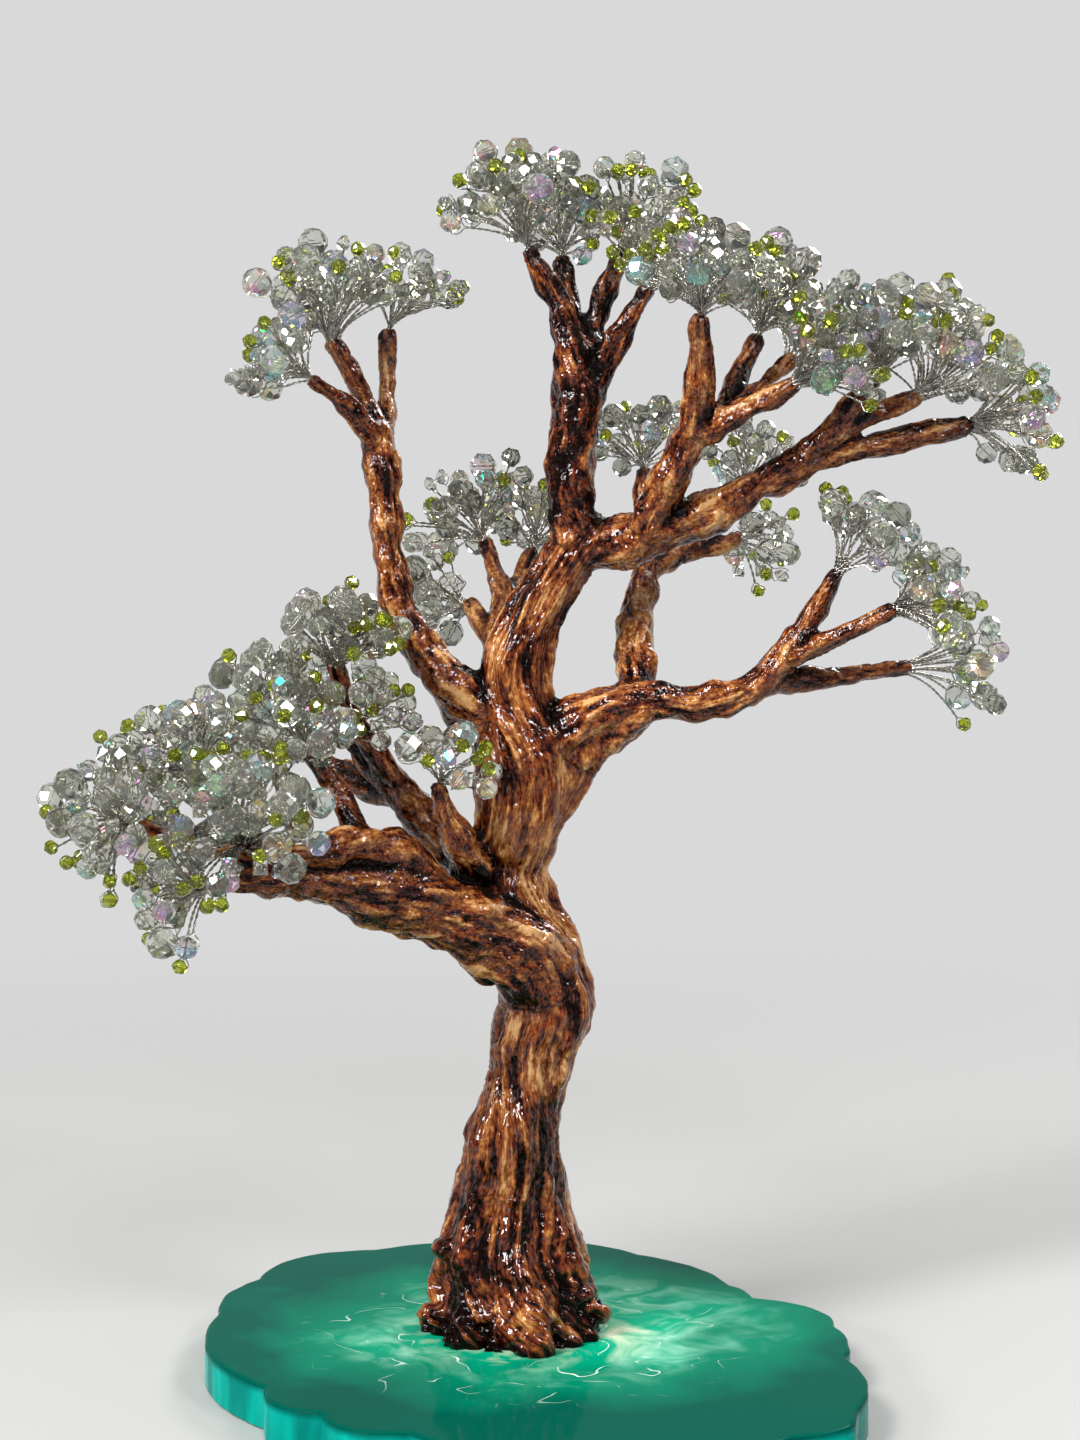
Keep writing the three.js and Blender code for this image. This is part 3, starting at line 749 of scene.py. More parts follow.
@dataclass(frozen=True)
class BarkTone:
    """What makes the bark paler or darker, painted shade among it, by how much, and where, in millimetres.
    """

    middle: float = -0.82
    ridge: float = 0.2
    fibre: float = 0.35
    groove: float = 0.2
    lump: float = 0.1
    patch: float = 0.35
    patch_length: float = 6.0
    patch_stretch: float = 2.6
    worn: float = 0.06
    worn_from_z: Span = (60.0, 85.0)
    worn_to_z: Span = (150.0, 180.0)
    upper: float = 0.08
    upper_z: Span = (165.0, 195.0)
    lower: float = 0.17
    lower_z: Span = (55.0, 90.0)
    twig_end: float = 0.18
    twig_end_reach: Span = (-5.0, 1.0)
    gnarl: float = 0.07
    pit: float = 0.4
    # Painted shade in the folds where two branches meet.
    crease: float = 0.45
    # Painted shade along the foot's join with the base.
    foot: float = 0.25
    foot_rise: float = 2.5
    # Dark spots in crotches and under limb joins: partly stain, partly painted shade.
    stain_and_painted_shade: float = 0.5
    stain_and_painted_shade_edge: Span = (0.3, 1.0)


@dataclass
class BarkCoat:
    """The bark: one skin over the trunk and all limbs, combed into fibres that follow each branch.

    Lengths are in millimetres. Knobs, and the dark spots of stain and painted shade, are given by their
    middle and radius.
    """

    branches: list[list[Station]]
    relief: BarkRelief = BarkRelief()
    tone: BarkTone = BarkTone()
    voxel: float = 0.75
    most_triangles: int = 190000
    easing: int = 4
    webbing: int = 16
    web_reach: float = 5.0
    ease_share: float = 0.5
    neighbours: int = 26
    base_top: float = 11.1
    sunk: float = 5.0
    sunk_flare: float = 1.0
    tip: float = 2.4
    tip_girth: float = 1.1
    tip_taper: float = 0.3
    roots: int = 17
    root_stray: float = 0.25
    root_thick: Span = (1.2, 2.2)
    root_spread: Span = (20.0, 22.5)
    root_top: Span = (11.0, 20.0)
    root_knee: Span = (0.8, 8.0)
    root_taper: Span = (0.8, 0.9)
    clumps: int = 14
    clump_rise: Span = (0.0, 6.0)
    clump_spread: Span = (21.0, 23.0)
    clump_slope: float = 0.3
    clump_radius: Span = (1.3, 2.2)
    knobs: tuple[RoutePoint, ...] = (
        (-25, 2, 33, 4), (-28, 0, 16, 4), (14, 0, 17, 3.2), (-10.5, 2, 85, 4.2))
    knob_lean: float = 0.6
    knob_rings: tuple[float, ...] = (-0.95, -0.6, 0.0, 0.6, 0.95)
    webs: tuple[tuple[RoutePoint, ...], ...] = (
        ((2, 5, 150, 7), (13, 4, 163.5, 5.5), (27, 4, 172.5, 5)),)
    # Dark spots in the crotches, creases and undersides of the limb joins: partly stain, partly painted
    # shade.
    stains_and_painted_shades: tuple[RoutePoint, ...] = (
        (-9, -9, 102, 10), (-15, -9, 129, 7), (-7, -8, 125, 7), (-1, -7, 119, 6),
        (-17, 2, 184, 7), (-12, -7, 156, 7))
    shades: tuple[tuple[str, float], ...] = (("crown", -0.24), ("left_mid", -0.06), ("right_low", -0.04))
    seed: int = 5
    girths: list[float] = field(init=False)
    shade_of: list[float] = field(init=False)
    stations: list[Station] = field(init=False)
    search: kdtree.KDTree = field(init=False)

    def __post_init__(self) -> None:
        """Takes each branch's mean radius, which keeps its fibres whole as it tapers, and its shade."""
        shades = dict(self.shades)
        self.girths = [sum(station.radius for station in branch) / len(branch) for branch in self.branches]
        self.shade_of = [0.0, *(shades.get(name, 0.0) for name, twigs in LIMBS.items() for _ in twigs)]
        self.stations = [station for branch in self.branches for station in branch]
        self.search = kdtree.KDTree(len(self.stations))
        for i, station in enumerate(self.stations):
            self.search.insert(station.centre, i)
        self.search.balance()

    def build(self) -> Object:
        """Makes the skin and combs it.

        Returns:
            The bark piece.
        """
        cores = tube_object("bark_cores", self._cores(), rounds=5)
        skin = mesh_object("bark_skin", settled_mesh(cores))
        fuse = skin.modifiers.new("fuse", "REMESH")
        fuse.mode = "VOXEL"
        fuse.voxel_size = self.voxel * MM
        ease = skin.modifiers.new("ease", "SMOOTH")
        ease.factor = self.ease_share
        ease.iterations = self.easing
        mesh = settled_mesh(skin)
        self._web(mesh)
        self._comb(mesh)
        self._seat(mesh)
        mesh.calc_loop_triangles()
        combed = mesh_object("combed_skin", mesh)
        thin = combed.modifiers.new("thin", "DECIMATE")
        thin.ratio = min(1.0, self.most_triangles / len(mesh.loop_triangles))
        mesh = settled_mesh(combed)
        mesh.polygons.foreach_set("use_smooth", [True] * len(mesh.polygons))
        return mesh_object("bark_coat", mesh)

    def dress(self, piece: Object, finish: VarnishedBark) -> None:
        """Gives the piece its finish and its place on the frame.

        Args:
            piece: The bark piece.
            finish: Its finish.
        """
        piece.data.materials.append(finish.material())
        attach(piece, BODY)
        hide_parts("trunk_bark", *(f"{name}_limb_bark" for name in LIMBS))

    def _cores(self) -> list[Tube]:
        """Collects the tubes that the skin is drawn over.

        Returns:
            Tapered tubes along the branches, webs, roots that spread at the foot, and its knobs.
        """
        cores = []
        for branch in self.branches:
            core = [(station.centre, station.radius) for station in branch]
            end = branch[-1]
            core += [(end.centre + share * self.tip * end.ahead,
                      (self.tip_girth - self.tip_taper * share) * end.radius) for share in (0.5, 1.0)]
            cores.append(core)
        below, radius = cores[0][0]
        cores[0].insert(0, (below - self.sunk * UP, radius + self.sunk_flare))
        cores += [[(Vector(point[:3]), point[3]) for point in web] for web in self.webs]
        foot = Vector(TRUNK.route[0][:3])
        draw = random.Random(self.seed)
        for i in range(self.roots):
            angle = 2 * math.pi * (i + draw.uniform(-self.root_stray, self.root_stray)) / self.roots
            out = Vector((math.cos(angle), math.sin(angle), 0.0))
            thick = draw.uniform(*self.root_thick)
            spread = draw.uniform(*self.root_spread)
            cores.append([
                (foot + out * self.root_top[0] + self.root_top[1] * UP, self.root_taper[0] * thick),
                (foot + out * self.root_knee[0] * spread + self.root_knee[1] * UP, thick),
                (foot + out * spread - self.sunk * UP, self.root_taper[1] * thick)])
        knobs = [(Vector(knob[:3]), knob[3]) for knob in self.knobs]
        for i in range(self.clumps):
            angle = GOLDEN_ANGLE * i
            rise = draw.uniform(*self.clump_rise)
            spread = draw.uniform(*self.clump_spread) - self.clump_slope * rise
            out = Vector((math.cos(angle), math.sin(angle), 0.0)) * spread
            knobs.append((foot + out + rise * UP, draw.uniform(*self.clump_radius)))
        for centre, radius in knobs:
            sideways = [draw.uniform(-self.knob_lean, self.knob_lean) for _ in range(2)]
            lean = Vector((*sideways, 1.0)).normalized()
            cores.append([(centre + share * radius * lean, radius * math.sqrt(1 - share * share))
                          for share in self.knob_rings])
        return cores

    def _web(self, mesh: Mesh) -> None:
        """Eases the skin where two branches meet, most along the fold, which webs the forks.

        Args:
            mesh: The smooth skin, changed in place.
        """
        form = bmesh.new()
        form.from_mesh(mesh)
        folds = []
        for vertex in form.verts:
            nearest = self._nearest(vertex.co / MM)
            if len(nearest) > 1:
                share = (nearest[1][0] - nearest[0][0]) / self.web_reach
                folds.append((share, vertex))
        for i in range(self.webbing):
            eased = [vertex for share, vertex in folds if share < 1 - i / self.webbing]
            bmesh.ops.smooth_vert(form, verts=eased, factor=self.ease_share,
                                  use_axis_x=True, use_axis_y=True, use_axis_z=True)
        form.to_mesh(mesh)
        form.free()

    def _comb(self, mesh: Mesh) -> None:
        """Raises the fibres along the normals, and keeps tone and grain as attributes.

        Args:
            mesh: The smooth skin, changed in place.
        """
        relief, darker = self.relief, self.tone
        tones = []
        grains = []
        places = []
        for vertex in mesh.vertices:
            place = vertex.co / MM
            nearest = self._nearest(place)
            height, tone, grain = self._fibres(nearest[0][1], place)
            crease = 0.0
            if len(nearest) > 1:
                gap = nearest[1][0] - nearest[0][0]
                share = 0.5 * (1 - smoothstep(0.0, relief.blend, gap))
                other_height, other_tone, _ = self._fibres(nearest[1][1], place)
                height += share * (other_height - height)
                tone += share * (other_tone - tone)
                # The fold where two branches meet is sunk a little and darkened with painted shade.
                apart = self._outward(nearest[0][1], place).dot(self._outward(nearest[1][1], place))
                crease = 1 - smoothstep(0.0, relief.crease, gap)
                crease *= 1 - smoothstep(*relief.crease_apart, apart)
            place += Vector(vertex.normal) * (height - relief.crease_depth * crease)
            # Painted shade in the lowest band of the bark, where it meets the base.
            foot = 1 - smoothstep(0.0, darker.foot_rise, place.z - self.base_top)
            # Painted shade in the folds between branches and along the join with the base, and the dark
            # spots of stain and painted shade.
            tone -= darker.crease * crease + darker.foot * foot + darker.stain_and_painted_shade * self._stain_and_painted_shade(place)
            tones.append(tone)
            grains += grain[:]
            places += (place * MM)[:]
        mesh.vertices.foreach_set("co", places)
        mesh.attributes.new("tone", "FLOAT", "POINT").data.foreach_set("value", tones)
        mesh.attributes.new("grain", "FLOAT_VECTOR", "POINT").data.foreach_set("vector", grains)
        mesh.update()

    def _seat(self, mesh: Mesh) -> None:
        """Cuts the foot off level with the base's top, and closes the cut.

        Args:
            mesh: The combed skin, changed in place.
        """
        form = bmesh.new()
        form.from_mesh(mesh)
        cut = bmesh.ops.bisect_plane(form, geom=[*form.verts, *form.edges, *form.faces], plane_no=UP,
                                     plane_co=(0, 0, self.base_top * MM), clear_inner=True)
        rim = [item for item in cut["geom_cut"] if isinstance(item, bmesh.types.BMEdge)]
        bmesh.ops.holes_fill(form, edges=rim, sides=0)
        form.to_mesh(mesh)
        form.free()

    def _stain_and_painted_shade(self, place: Vector) -> float:
        """Share of the dark spots near a point: partly stain, partly painted shade in the crotches and under
        the limb joins.
        """
        depths = ((place - Vector(stain_and_painted_shade[:3])).length / stain_and_painted_shade[3] for stain_and_painted_shade in self.stains_and_painted_shades)
        return max(1 - smoothstep(*self.tone.stain_and_painted_shade_edge, depth) for depth in depths)

    @staticmethod
    def _outward(station: Station, place: Vector) -> Vector:
        """Direction from a branch's middle line to a point."""
        return (place - station.centre).normalized()

    def _nearest(self, place: Vector) -> list[tuple[float, Station]]:
        """Finds the branches that a point of the skin lies on.

        Args:
            place: The point, in millimetres.

        Returns:
            Up to two stations of different branches, each with the point's height over its bark.
        """
        best: dict[int, tuple[float, Station]] = {}
        for _, index, distance in self.search.find_n(place, self.neighbours):
            station = self.stations[index]
            height = distance - station.radius
            if station.branch not in best or height < best[station.branch][0]:
                best[station.branch] = (height, station)
        return sorted(best.values(), key=lambda pair: pair[0])[:2]

    def _fibres(self, station: Station, place: Vector) -> tuple[float, float, Vector]:
        """Works out the bark's relief at a point, seen from one branch.

        Args:
            station: The branch's nearest station.
            place: The point, in millimetres.

        Returns:
            Height over the smooth skin in millimetres, tone from dark to pale, and the point in the branch's
            own grain, stretched along the fibres.
        """
        relief, paler = self.relief, self.tone
        offset = place - station.centre
        along = station.along + offset.dot(station.ahead)
        wander = noise.noise(Vector((relief.wander_rate * along, relief.wander_shift * station.branch, 0.0)))
        angle = math.atan2(offset.dot(station.beside), offset.dot(station.across))
        swell = station.radius * self._swell(station, angle)
        angle += relief.twist * along + relief.wander * wander
        around = self.girths[station.branch] * Vector((math.cos(angle), math.sin(angle), 0.0))
        shift = relief.branch_shift * station.branch * UP
        grain = around + along / relief.stretch[min(station.branch, 1)] * UP + shift
        broad = noise.noise(grain / relief.ridge)
        fine = noise.noise(grain / relief.fibre + Vector(relief.fibre_shift))
        lump = noise.noise(place / relief.lump)
        bulge = noise.noise(place / relief.bulge + Vector(relief.bulge_shift))
        bulge *= min(relief.bulge_most, relief.bulge_share * station.radius)
        knurl = noise.noise(place / relief.knurl + Vector(relief.knurl_shift))
        knurl *= min(relief.knurl_most, relief.knurl_share * station.radius)
        rough = 1.0 if station.branch else relief.trunk_rough
        patch = noise.noise((around + along / paler.patch_stretch * UP + shift) / paler.patch_length)
        groove = 1 - smoothstep(*relief.groove_edge, abs(broad + relief.groove_fibre * fine))
        tall = min(relief.height_range[1], max(relief.height_range[0], relief.height_share * station.radius))
        gnarl = smoothstep(*relief.gnarl_z, place.z)
        knot = noise.noise(place / relief.knot)
        pit = smoothstep(*relief.pit_edge, -knot)
        fibres = (relief.ridge_weight * broad + relief.fibre_weight * fine
                  + (relief.lump_weight + gnarl) * lump - relief.groove_weight * groove)
        height = swell + rough * (bulge + knurl) + tall * fibres + gnarl * (knot - relief.pit_depth * pit)
        tone = (paler.middle + paler.ridge * broad + paler.fibre * fine + paler.patch * patch
                + paler.lump * lump - paler.groove * groove)
        if station.branch == 0:
            worn = smoothstep(*paler.worn_from_z, place.z) * (1 - smoothstep(*paler.worn_to_z, place.z))
            tone -= paler.upper * smoothstep(*paler.upper_z, place.z)
            tone -= paler.lower * (1 - smoothstep(*paler.lower_z, place.z))
            tone += paler.worn * worn
        else:
            past = along - self.branches[station.branch][-1].along
            tone -= paler.twig_end * smoothstep(*paler.twig_end_reach, past)
        tone += self.shade_of[station.branch] - gnarl * (paler.gnarl + paler.pit * pit)
        return height, tone, grain

    @staticmethod
    def _swell(station: Station, angle: float) -> float:
        """Finds the height of the main ridges.

        Args:
            station: The place on the branch.
            angle: The angle round it, in radians.

        Returns:
            The height, against the branch's radius.
        """
        ridges = LIMB_RIDGES if station.branch else TRUNK_RIDGES
        swell = sum(ridge.depth * math.sin(ridge.count * angle + ridge.turn * station.share)
                    for ridge in ridges)
        if station.branch == 0:
            fade = max(0.0, 1 - station.share / ROOT_SHARE)
            swell += fade * sum(root.depth * math.sin(root.count * angle) for root in ROOTS)
        return swell


@dataclass(frozen=True)
class Lobe:
    """A lobe of the base's broken rim.

    Attributes:
        angle: Where its first notch is, in degrees.
        distance: The notch's distance from the middle, in millimetres.
        swell: How far the lobe swells out before the next notch, in millimetres.
    """

    angle: float
    distance: float
    swell: float


RIM = (
    Lobe(-149, 78, 4), Lobe(-131, 78.5, 4.5), Lobe(-112, 78.5, 3), Lobe(-92, 83, 3.5), Lobe(-72, 87, 2.5),
    Lobe(-53, 95, 4.5), Lobe(-37, 94, 1.5), Lobe(-12.5, 79, 1), Lobe(6.5, 78.5, 5), Lobe(31, 68.5, 1),
    Lobe(41.5, 71.5, 1.5), Lobe(70, 85, 5), Lobe(96, 92, 2.5), Lobe(120, 98, 7), Lobe(146, 96, 2.5),
    Lobe(165.5, 89, 2))


@dataclass
class ResinBase:
    """The cast slab: a broken, lobed rim, softened at its edges, and a level top.

    Lengths are in millimetres. A face counts as level, or as the top, by its normal's upward share.
    """

    thickness: float = 11.0
    lobe_points: int = 18
    ripple: float = 0.5
    ripple_length: float = 7.0
    rounding: float = 1.1
    rounding_steps: int = 4
    level: float = 0.9
    top_level: float = 0.8

    def build(self) -> Object:
        """Makes the slab from its outline.

        Returns:
            The base piece, with its top first and its edge second among its materials.
        """
        outline = self._outline()
        form = bmesh.new()
        bmesh.ops.create_circle(form, cap_ends=True, segments=len(outline), radius=1.0)
        ring = sorted(form.verts, key=lambda vertex: math.atan2(vertex.co.y, vertex.co.x))
        for vertex, place in zip(ring, outline):
            vertex.co = place * MM
        raised = bmesh.ops.extrude_face_region(form, geom=form.faces[:])
        top = [item for item in raised["geom"] if isinstance(item, bmesh.types.BMVert)]
        bmesh.ops.translate(form, verts=top, vec=(0, 0, self.thickness * MM))
        bmesh.ops.recalc_face_normals(form, faces=form.faces[:])
        edges = [edge for edge in form.edges
                 if max(abs(face.normal.z) for face in edge.link_faces) > self.level]
        bmesh.ops.bevel(form, geom=edges, offset=self.rounding * MM, affect="EDGES",
                        segments=self.rounding_steps, profile=0.5, material=-1)
        for face in form.faces:
            face.material_index = 0 if face.normal.z > self.top_level else 1
            face.smooth = len(face.verts) <= 4
        return form_object("resin_slab", form)

    def dress(self, piece: Object, top: CastResin, edge: ResinEdge) -> None:
        """Gives the piece its finishes and its place on the frame.

        Args:
            piece: The base piece.
            top: The finish of its top.
            edge: The finish of its rim.
        """
        piece.data.materials.append(top.material())
        piece.data.materials.append(edge.material())
        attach(piece, BODY)
        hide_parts("resin_base")

    def _outline(self) -> list[Vector]:
        """Draws the rim, lobe by lobe.

        Returns:
            Its points in millimetres, in order from an angle of -180 degrees.
        """
        polar = []
        for lobe, after in zip(RIM, RIM[1:] + RIM[:1]):
            sweep = (after.angle - lobe.angle) % 360
            for k in range(self.lobe_points):
                share = k / self.lobe_points
                out = lobe.distance + share * (after.distance - lobe.distance)
                out += lobe.swell * math.sin(math.pi * share)
                polar.append(((lobe.angle + sweep * share + 180) % 360 - 180, out))
        outline = []
        for angle, out in sorted(polar):
            way = Vector((math.cos(math.radians(angle)), math.sin(math.radians(angle)), 0.0))
            out += self.ripple * noise.noise(out * way / self.ripple_length)
            outline.append(out * way)
        return outline


@dataclass(frozen=True)
class BeadMake:
    """A make of bead.

    Attributes:
        smallest: Its smallest radius, in millimetres.
        largest: Its largest radius, in millimetres.
        rows: How many rows of facets it has.
        share: Its share among the beads.
    """

    smallest: float
    largest: float
    rows: int
    share: float


class BeadKind(Enum):
    """The beads on the stems."""

    LARGE = BeadMake(3.5, 4.0, 5, 0.3)
    MIDDLE = BeadMake(2.7, 3.1, 5, 0.32)
    BICONE = BeadMake(2.2, 2.5, 2, 0.14)
    GREEN = BeadMake(1.75, 2.0, 4, 0.24)


@dataclass
class Bead:
    """A bead on the loop that ends a stem, in millimetres."""

    kind: BeadKind
    centre: Vector
    radius: float
    stem_top: Vector
    toward: Vector


@dataclass
class Foliage:
    """All sprays: fans of two-ply twisted stems, each ending in a loop that holds a bead.

    Lengths are in millimetres. Beads of a narrow spray stand in a shell, and those of a wide one in a heap.
    """

    branches: list[list[Station]]
    strand: float = 0.19
    pitch: float = 2.6
    steps_per_turn: int = 6
    fewest_steps: int = 8
    bundle: float = 1.5
    seated: float = 1.5
    bend: float = 0.38
    loop: float = 1.06
    loop_angles: Triple = (38.0, 66.0, 90.0)
    neck: float = 0.9
    lean_stray: float = 0.06
    angle_stray: float = 0.15
    shell: float = 0.82
    heap: float = 0.68
    heap_spread: float = 70.0
    farthest: float = 1.03
    tries: tuple[float, ...] = (1.0, 0.9, 1.08, 0.78)
    bead_gap: float = 0.92
    bark_gap: float = 0.4
    seed: int = 11
    draw: random.Random = field(init=False)
    placed: list[Bead] = field(init=False, default_factory=list)

    def __post_init__(self) -> None:
        """Starts the random draws."""
        self.draw = random.Random(self.seed)

    def build(self) -> dict[str, tuple[list[Tube], list[Bead]]]:
        """Places the beads and bends the wires of every limb.

        Returns:
            For each limb, its wires and its beads.
        """
        number = 1
        sprays = {}
        for name, twigs in LIMBS.items():
            wires = []
            beads = []
            for twig in twigs:
                grown = self._spray(twig, self.branches[number][-1])
                for start, tip, bead in grown:
                    wires += self._stem(start, tip, bead)
                beads += [bead for _, _, bead in grown]
                number += 1
            sprays[name] = (wires, beads)
        return sprays

    def _spray(self, twig: Twig, tip: Station) -> list[tuple[Vector, Station, Bead]]:
        """Fans a spray's beads over a cap round its aim.

        Args:
            twig: The branch that carries the spray.
            tip: Its last station.

        Returns:
            For each stem, where it starts in the twig's end, the tip and its bead.
        """
        turn = UP.rotation_difference(Vector(twig.aim).normalized())
        cap = 1 - math.cos(math.radians(twig.spread))
        inner = self.shell if twig.spread < self.heap_spread else self.heap
        phase = self.draw.uniform(0, 2 * math.pi)
        grown = []
        for k in range(twig.stems):
            share = (k + 0.5) / twig.stems
            lean = math.acos(1 - share * cap) + self.draw.gauss(0, self.lean_stray)
            angle = phase + GOLDEN_ANGLE * k + self.draw.gauss(0, self.angle_stray)
            toward = turn @ Vector((math.sin(lean) * math.cos(angle), math.sin(lean) * math.sin(angle),
                                    math.cos(lean)))
            bead = self._fit(tip, toward, twig.reach * self.draw.uniform(inner, self.farthest))
            if bead is None:
                continue
            ring = self.bundle * math.sqrt(share)
            start = tip.centre + ring * (math.cos(angle) * tip.across + math.sin(angle) * tip.beside)
            self.placed.append(bead)
            grown.append((start - self.seated * tip.ahead, tip, bead))
        return grown

    def _fit(self, tip: Station, toward: Vector, reach: float) -> Bead | None:
        """Finds a free place for a bead along its stem's direction.

        Args:
            tip: The twig's last station.
            toward: The stem's direction.
            reach: How far the bead should stand from the tip, in millimetres.

        Returns:
            The bead, or None where there is no room.
        """
        kind = self.draw.choices(list(BeadKind), [kind.value.share for kind in BeadKind])[0]
        radius = self.draw.uniform(kind.value.smallest, kind.value.largest)
        for share in self.tries:
            centre = tip.centre + toward * (share * reach - radius)
            if self._is_free(centre, radius):
                return Bead(kind, centre, radius, centre - toward * (radius + self.neck), toward)
        return None

    def _is_free(self, centre: Vector, radius: float) -> bool:
        """Finds out whether a bead has room.

        Args:
            centre: The bead's middle, in millimetres.
            radius: Its radius, in millimetres.

        Returns:
            Whether it would stay clear of the bark and of the beads already placed.
        """
        if any((centre - other.centre).length < self.bead_gap * (radius + other.radius)
               for other in self.placed):
            return False
        return all((centre - station.centre).length > radius + station.radius + self.bark_gap
                   for branch in self.branches for station in branch)

    def _stem(self, start: Vector, tip: Station, bead: Bead) -> list[Tube]:
        """Bends a stem from the twig's end to its bead, and the loop round the bead.

        Args:
            start: Where the stem starts, inside the twig's end.
            tip: The twig's last station.
            bead: The bead at the stem's end.

        Returns:
            The two strands and the loop.
        """
        end = bead.stem_top
        length = (end - start).length
        bend = start + tip.ahead * self.bend * length
        steps = max(self.fewest_steps, round(self.steps_per_turn * length / self.pitch))
        side = tip.across
        strands: list[Tube] = [[], []]
        for i in range(steps + 1):
            t = i / steps
            middle = (1 - t) ** 2 * start + 2 * t * (1 - t) * bend + t * t * end
            ahead = ((1 - t) * (bend - start) + t * (end - bend)).normalized()
            side = (side - ahead * side.dot(ahead)).normalized()
            turn = Quaternion(ahead, 2 * math.pi * t * length / self.pitch)
            arm = turn @ (self.strand * side)
            strands[0].append((middle + arm, self.strand))
            strands[1].append((middle - arm, self.strand))
        hole = turn @ side
        reach = self.loop * bead.radius
        angles = [math.radians(angle) for angle in self.loop_angles]
        there, back = (
            [bead.centre + reach * (way * math.sin(angle) * hole - math.cos(angle) * bead.toward)
             for angle in angles] for way in (1, -1))
        ring = [end, *there, bead.centre, *reversed(back), end]
        return [*strands, [(place, self.strand) for place in ring]]


@dataclass
class SprayDresser:
    """Turns a limb's wires and beads into pieces with their finishes."""

    wire: Material
    crystals: dict[Material, float]
    green: Material
    facets: int = 8
    seed: int = 23
    draw: random.Random = field(init=False)

    def __post_init__(self) -> None:
        """Starts the random draws."""
        self.draw = random.Random(self.seed)

    def wires(self, name: str, tubes: list[Tube]) -> Object:
        """Makes the wires of a limb's sprays.

        Args:
            name: The limb's name.
            tubes: The wires.

        Returns:
            The wire piece, which stands for the limb's spray nodes.
        """
        mesh = settled_mesh(tube_object(f"{name}_wire_paths", tubes, rounds=0))
        mesh.polygons.foreach_set("use_smooth", [True] * len(mesh.polygons))
        mesh.materials.clear()
        mesh.materials.append(self.wire)
        piece = mesh_object(f"{name}_spray_wires", mesh)
        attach(piece, BODY)
        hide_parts(*(f"{name}_spray_{i + 1}" for i in range(len(LIMBS[name]))))
        return piece

    def beads(self, name: str, beads: list[Bead], green: bool) -> Object:
        """Makes the clear or the green beads of a limb's sprays.

        Args:
            name: The limb's name.
            beads: The limb's beads.
            green: Whether the green ones are made.

        Returns:
            The bead piece.
        """
        form = bmesh.new()
        coat = form.faces.layers.float.new("coat")
        for bead in beads:
            if (bead.kind is BeadKind.GREEN) == green:
                self._cut(form, coat, bead)
        piece = form_object(f"{name}_green_beads" if green else f"{name}_crystal_beads", form)
        for material in (self.green,) if green else self.crystals:
            piece.data.materials.append(material)
        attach(piece, BODY)
        return piece

    def _cut(self, form: bmesh.types.BMesh, coat: bmesh.types.BMLayerItem, bead: Bead) -> None:
        """Adds one faceted bead, turned at random about its hole.

        Args:
            form: The form that takes the bead.
            coat: The layer that keeps how thick each face's coat is, from 0 to 1.
            bead: The bead.
        """
        turn = UP.rotation_difference(bead.toward.orthogonal()).to_matrix().to_4x4()
        roll = Matrix.Rotation(self.draw.uniform(0, math.pi), 4, "Z")
        place = Matrix.Translation(bead.centre * MM) @ turn @ roll
        made = bmesh.ops.create_uvsphere(form, u_segments=self.facets, v_segments=bead.kind.value.rows,
                                         radius=bead.radius * MM, matrix=place)
        film = self.draw.random()
        glass = self.draw.choices(range(len(self.crystals)), list(self.crystals.values()))[0]
        for face in {face for vertex in made["verts"] for face in vertex.link_faces}:
            face[coat] = film
            face.material_index = 0 if bead.kind is BeadKind.GREEN else glass


# Stage


@dataclass(frozen=True)
class PaleFloor(Finish):
    """A matt pale floor, which fades to the room's colours far from the object."""

    name: str
    colour: str
    front: str
    room: str
    behind: Span
    fade: Span = (0.2, 0.9)
    roughness: float = 0.55

    def shade(self, tree: NodeTree) -> Node:
        """Mixes the floor with the room's light, by the distance in metres.

        Args:
            tree: The material's empty node tree.

        Returns:
            The shader.
        """
        place = add_node(tree, "TexCoord").outputs["Object"]
        distance = add_node(tree, "VectorMath", {0: place}, operation="LENGTH")
        way = add_node(tree, "VectorMath", {0: place}, operation="NORMALIZE")
        rearward = add_node(tree, "SeparateXYZ", {0: way}).outputs["Y"]
        behind = add_node(tree, "MapRange", {"Value": rearward, **from_span(self.behind)})
        backdrop = add_node(tree, "Mix", {
            MIX_SHARE: behind, MIX_FIRST: linear(self.front), MIX_SECOND: linear(self.room)},
            data_type="RGBA")
        far = add_node(tree, "MapRange", {"Value": distance, **from_span(self.fade)},
                       interpolation_type="SMOOTHSTEP")
        near = add_node(tree, "BsdfPrincipled", {
            "Base Color": linear(self.colour), "Roughness": self.roughness})
        away = add_node(tree, "Emission", {"Color": backdrop})
        return add_node(tree, "MixShader", {0: far, 1: near, 2: away})


@dataclass(frozen=True)
class Lamp:
    """A soft square lamp.

    Attributes:
        name: What it is for.
        place: Where it hangs, in metres.
        size: Its side, in metres.
        power: Its power, in watts.
    """

    name: str
    place: Triple
    size: float
    power: float


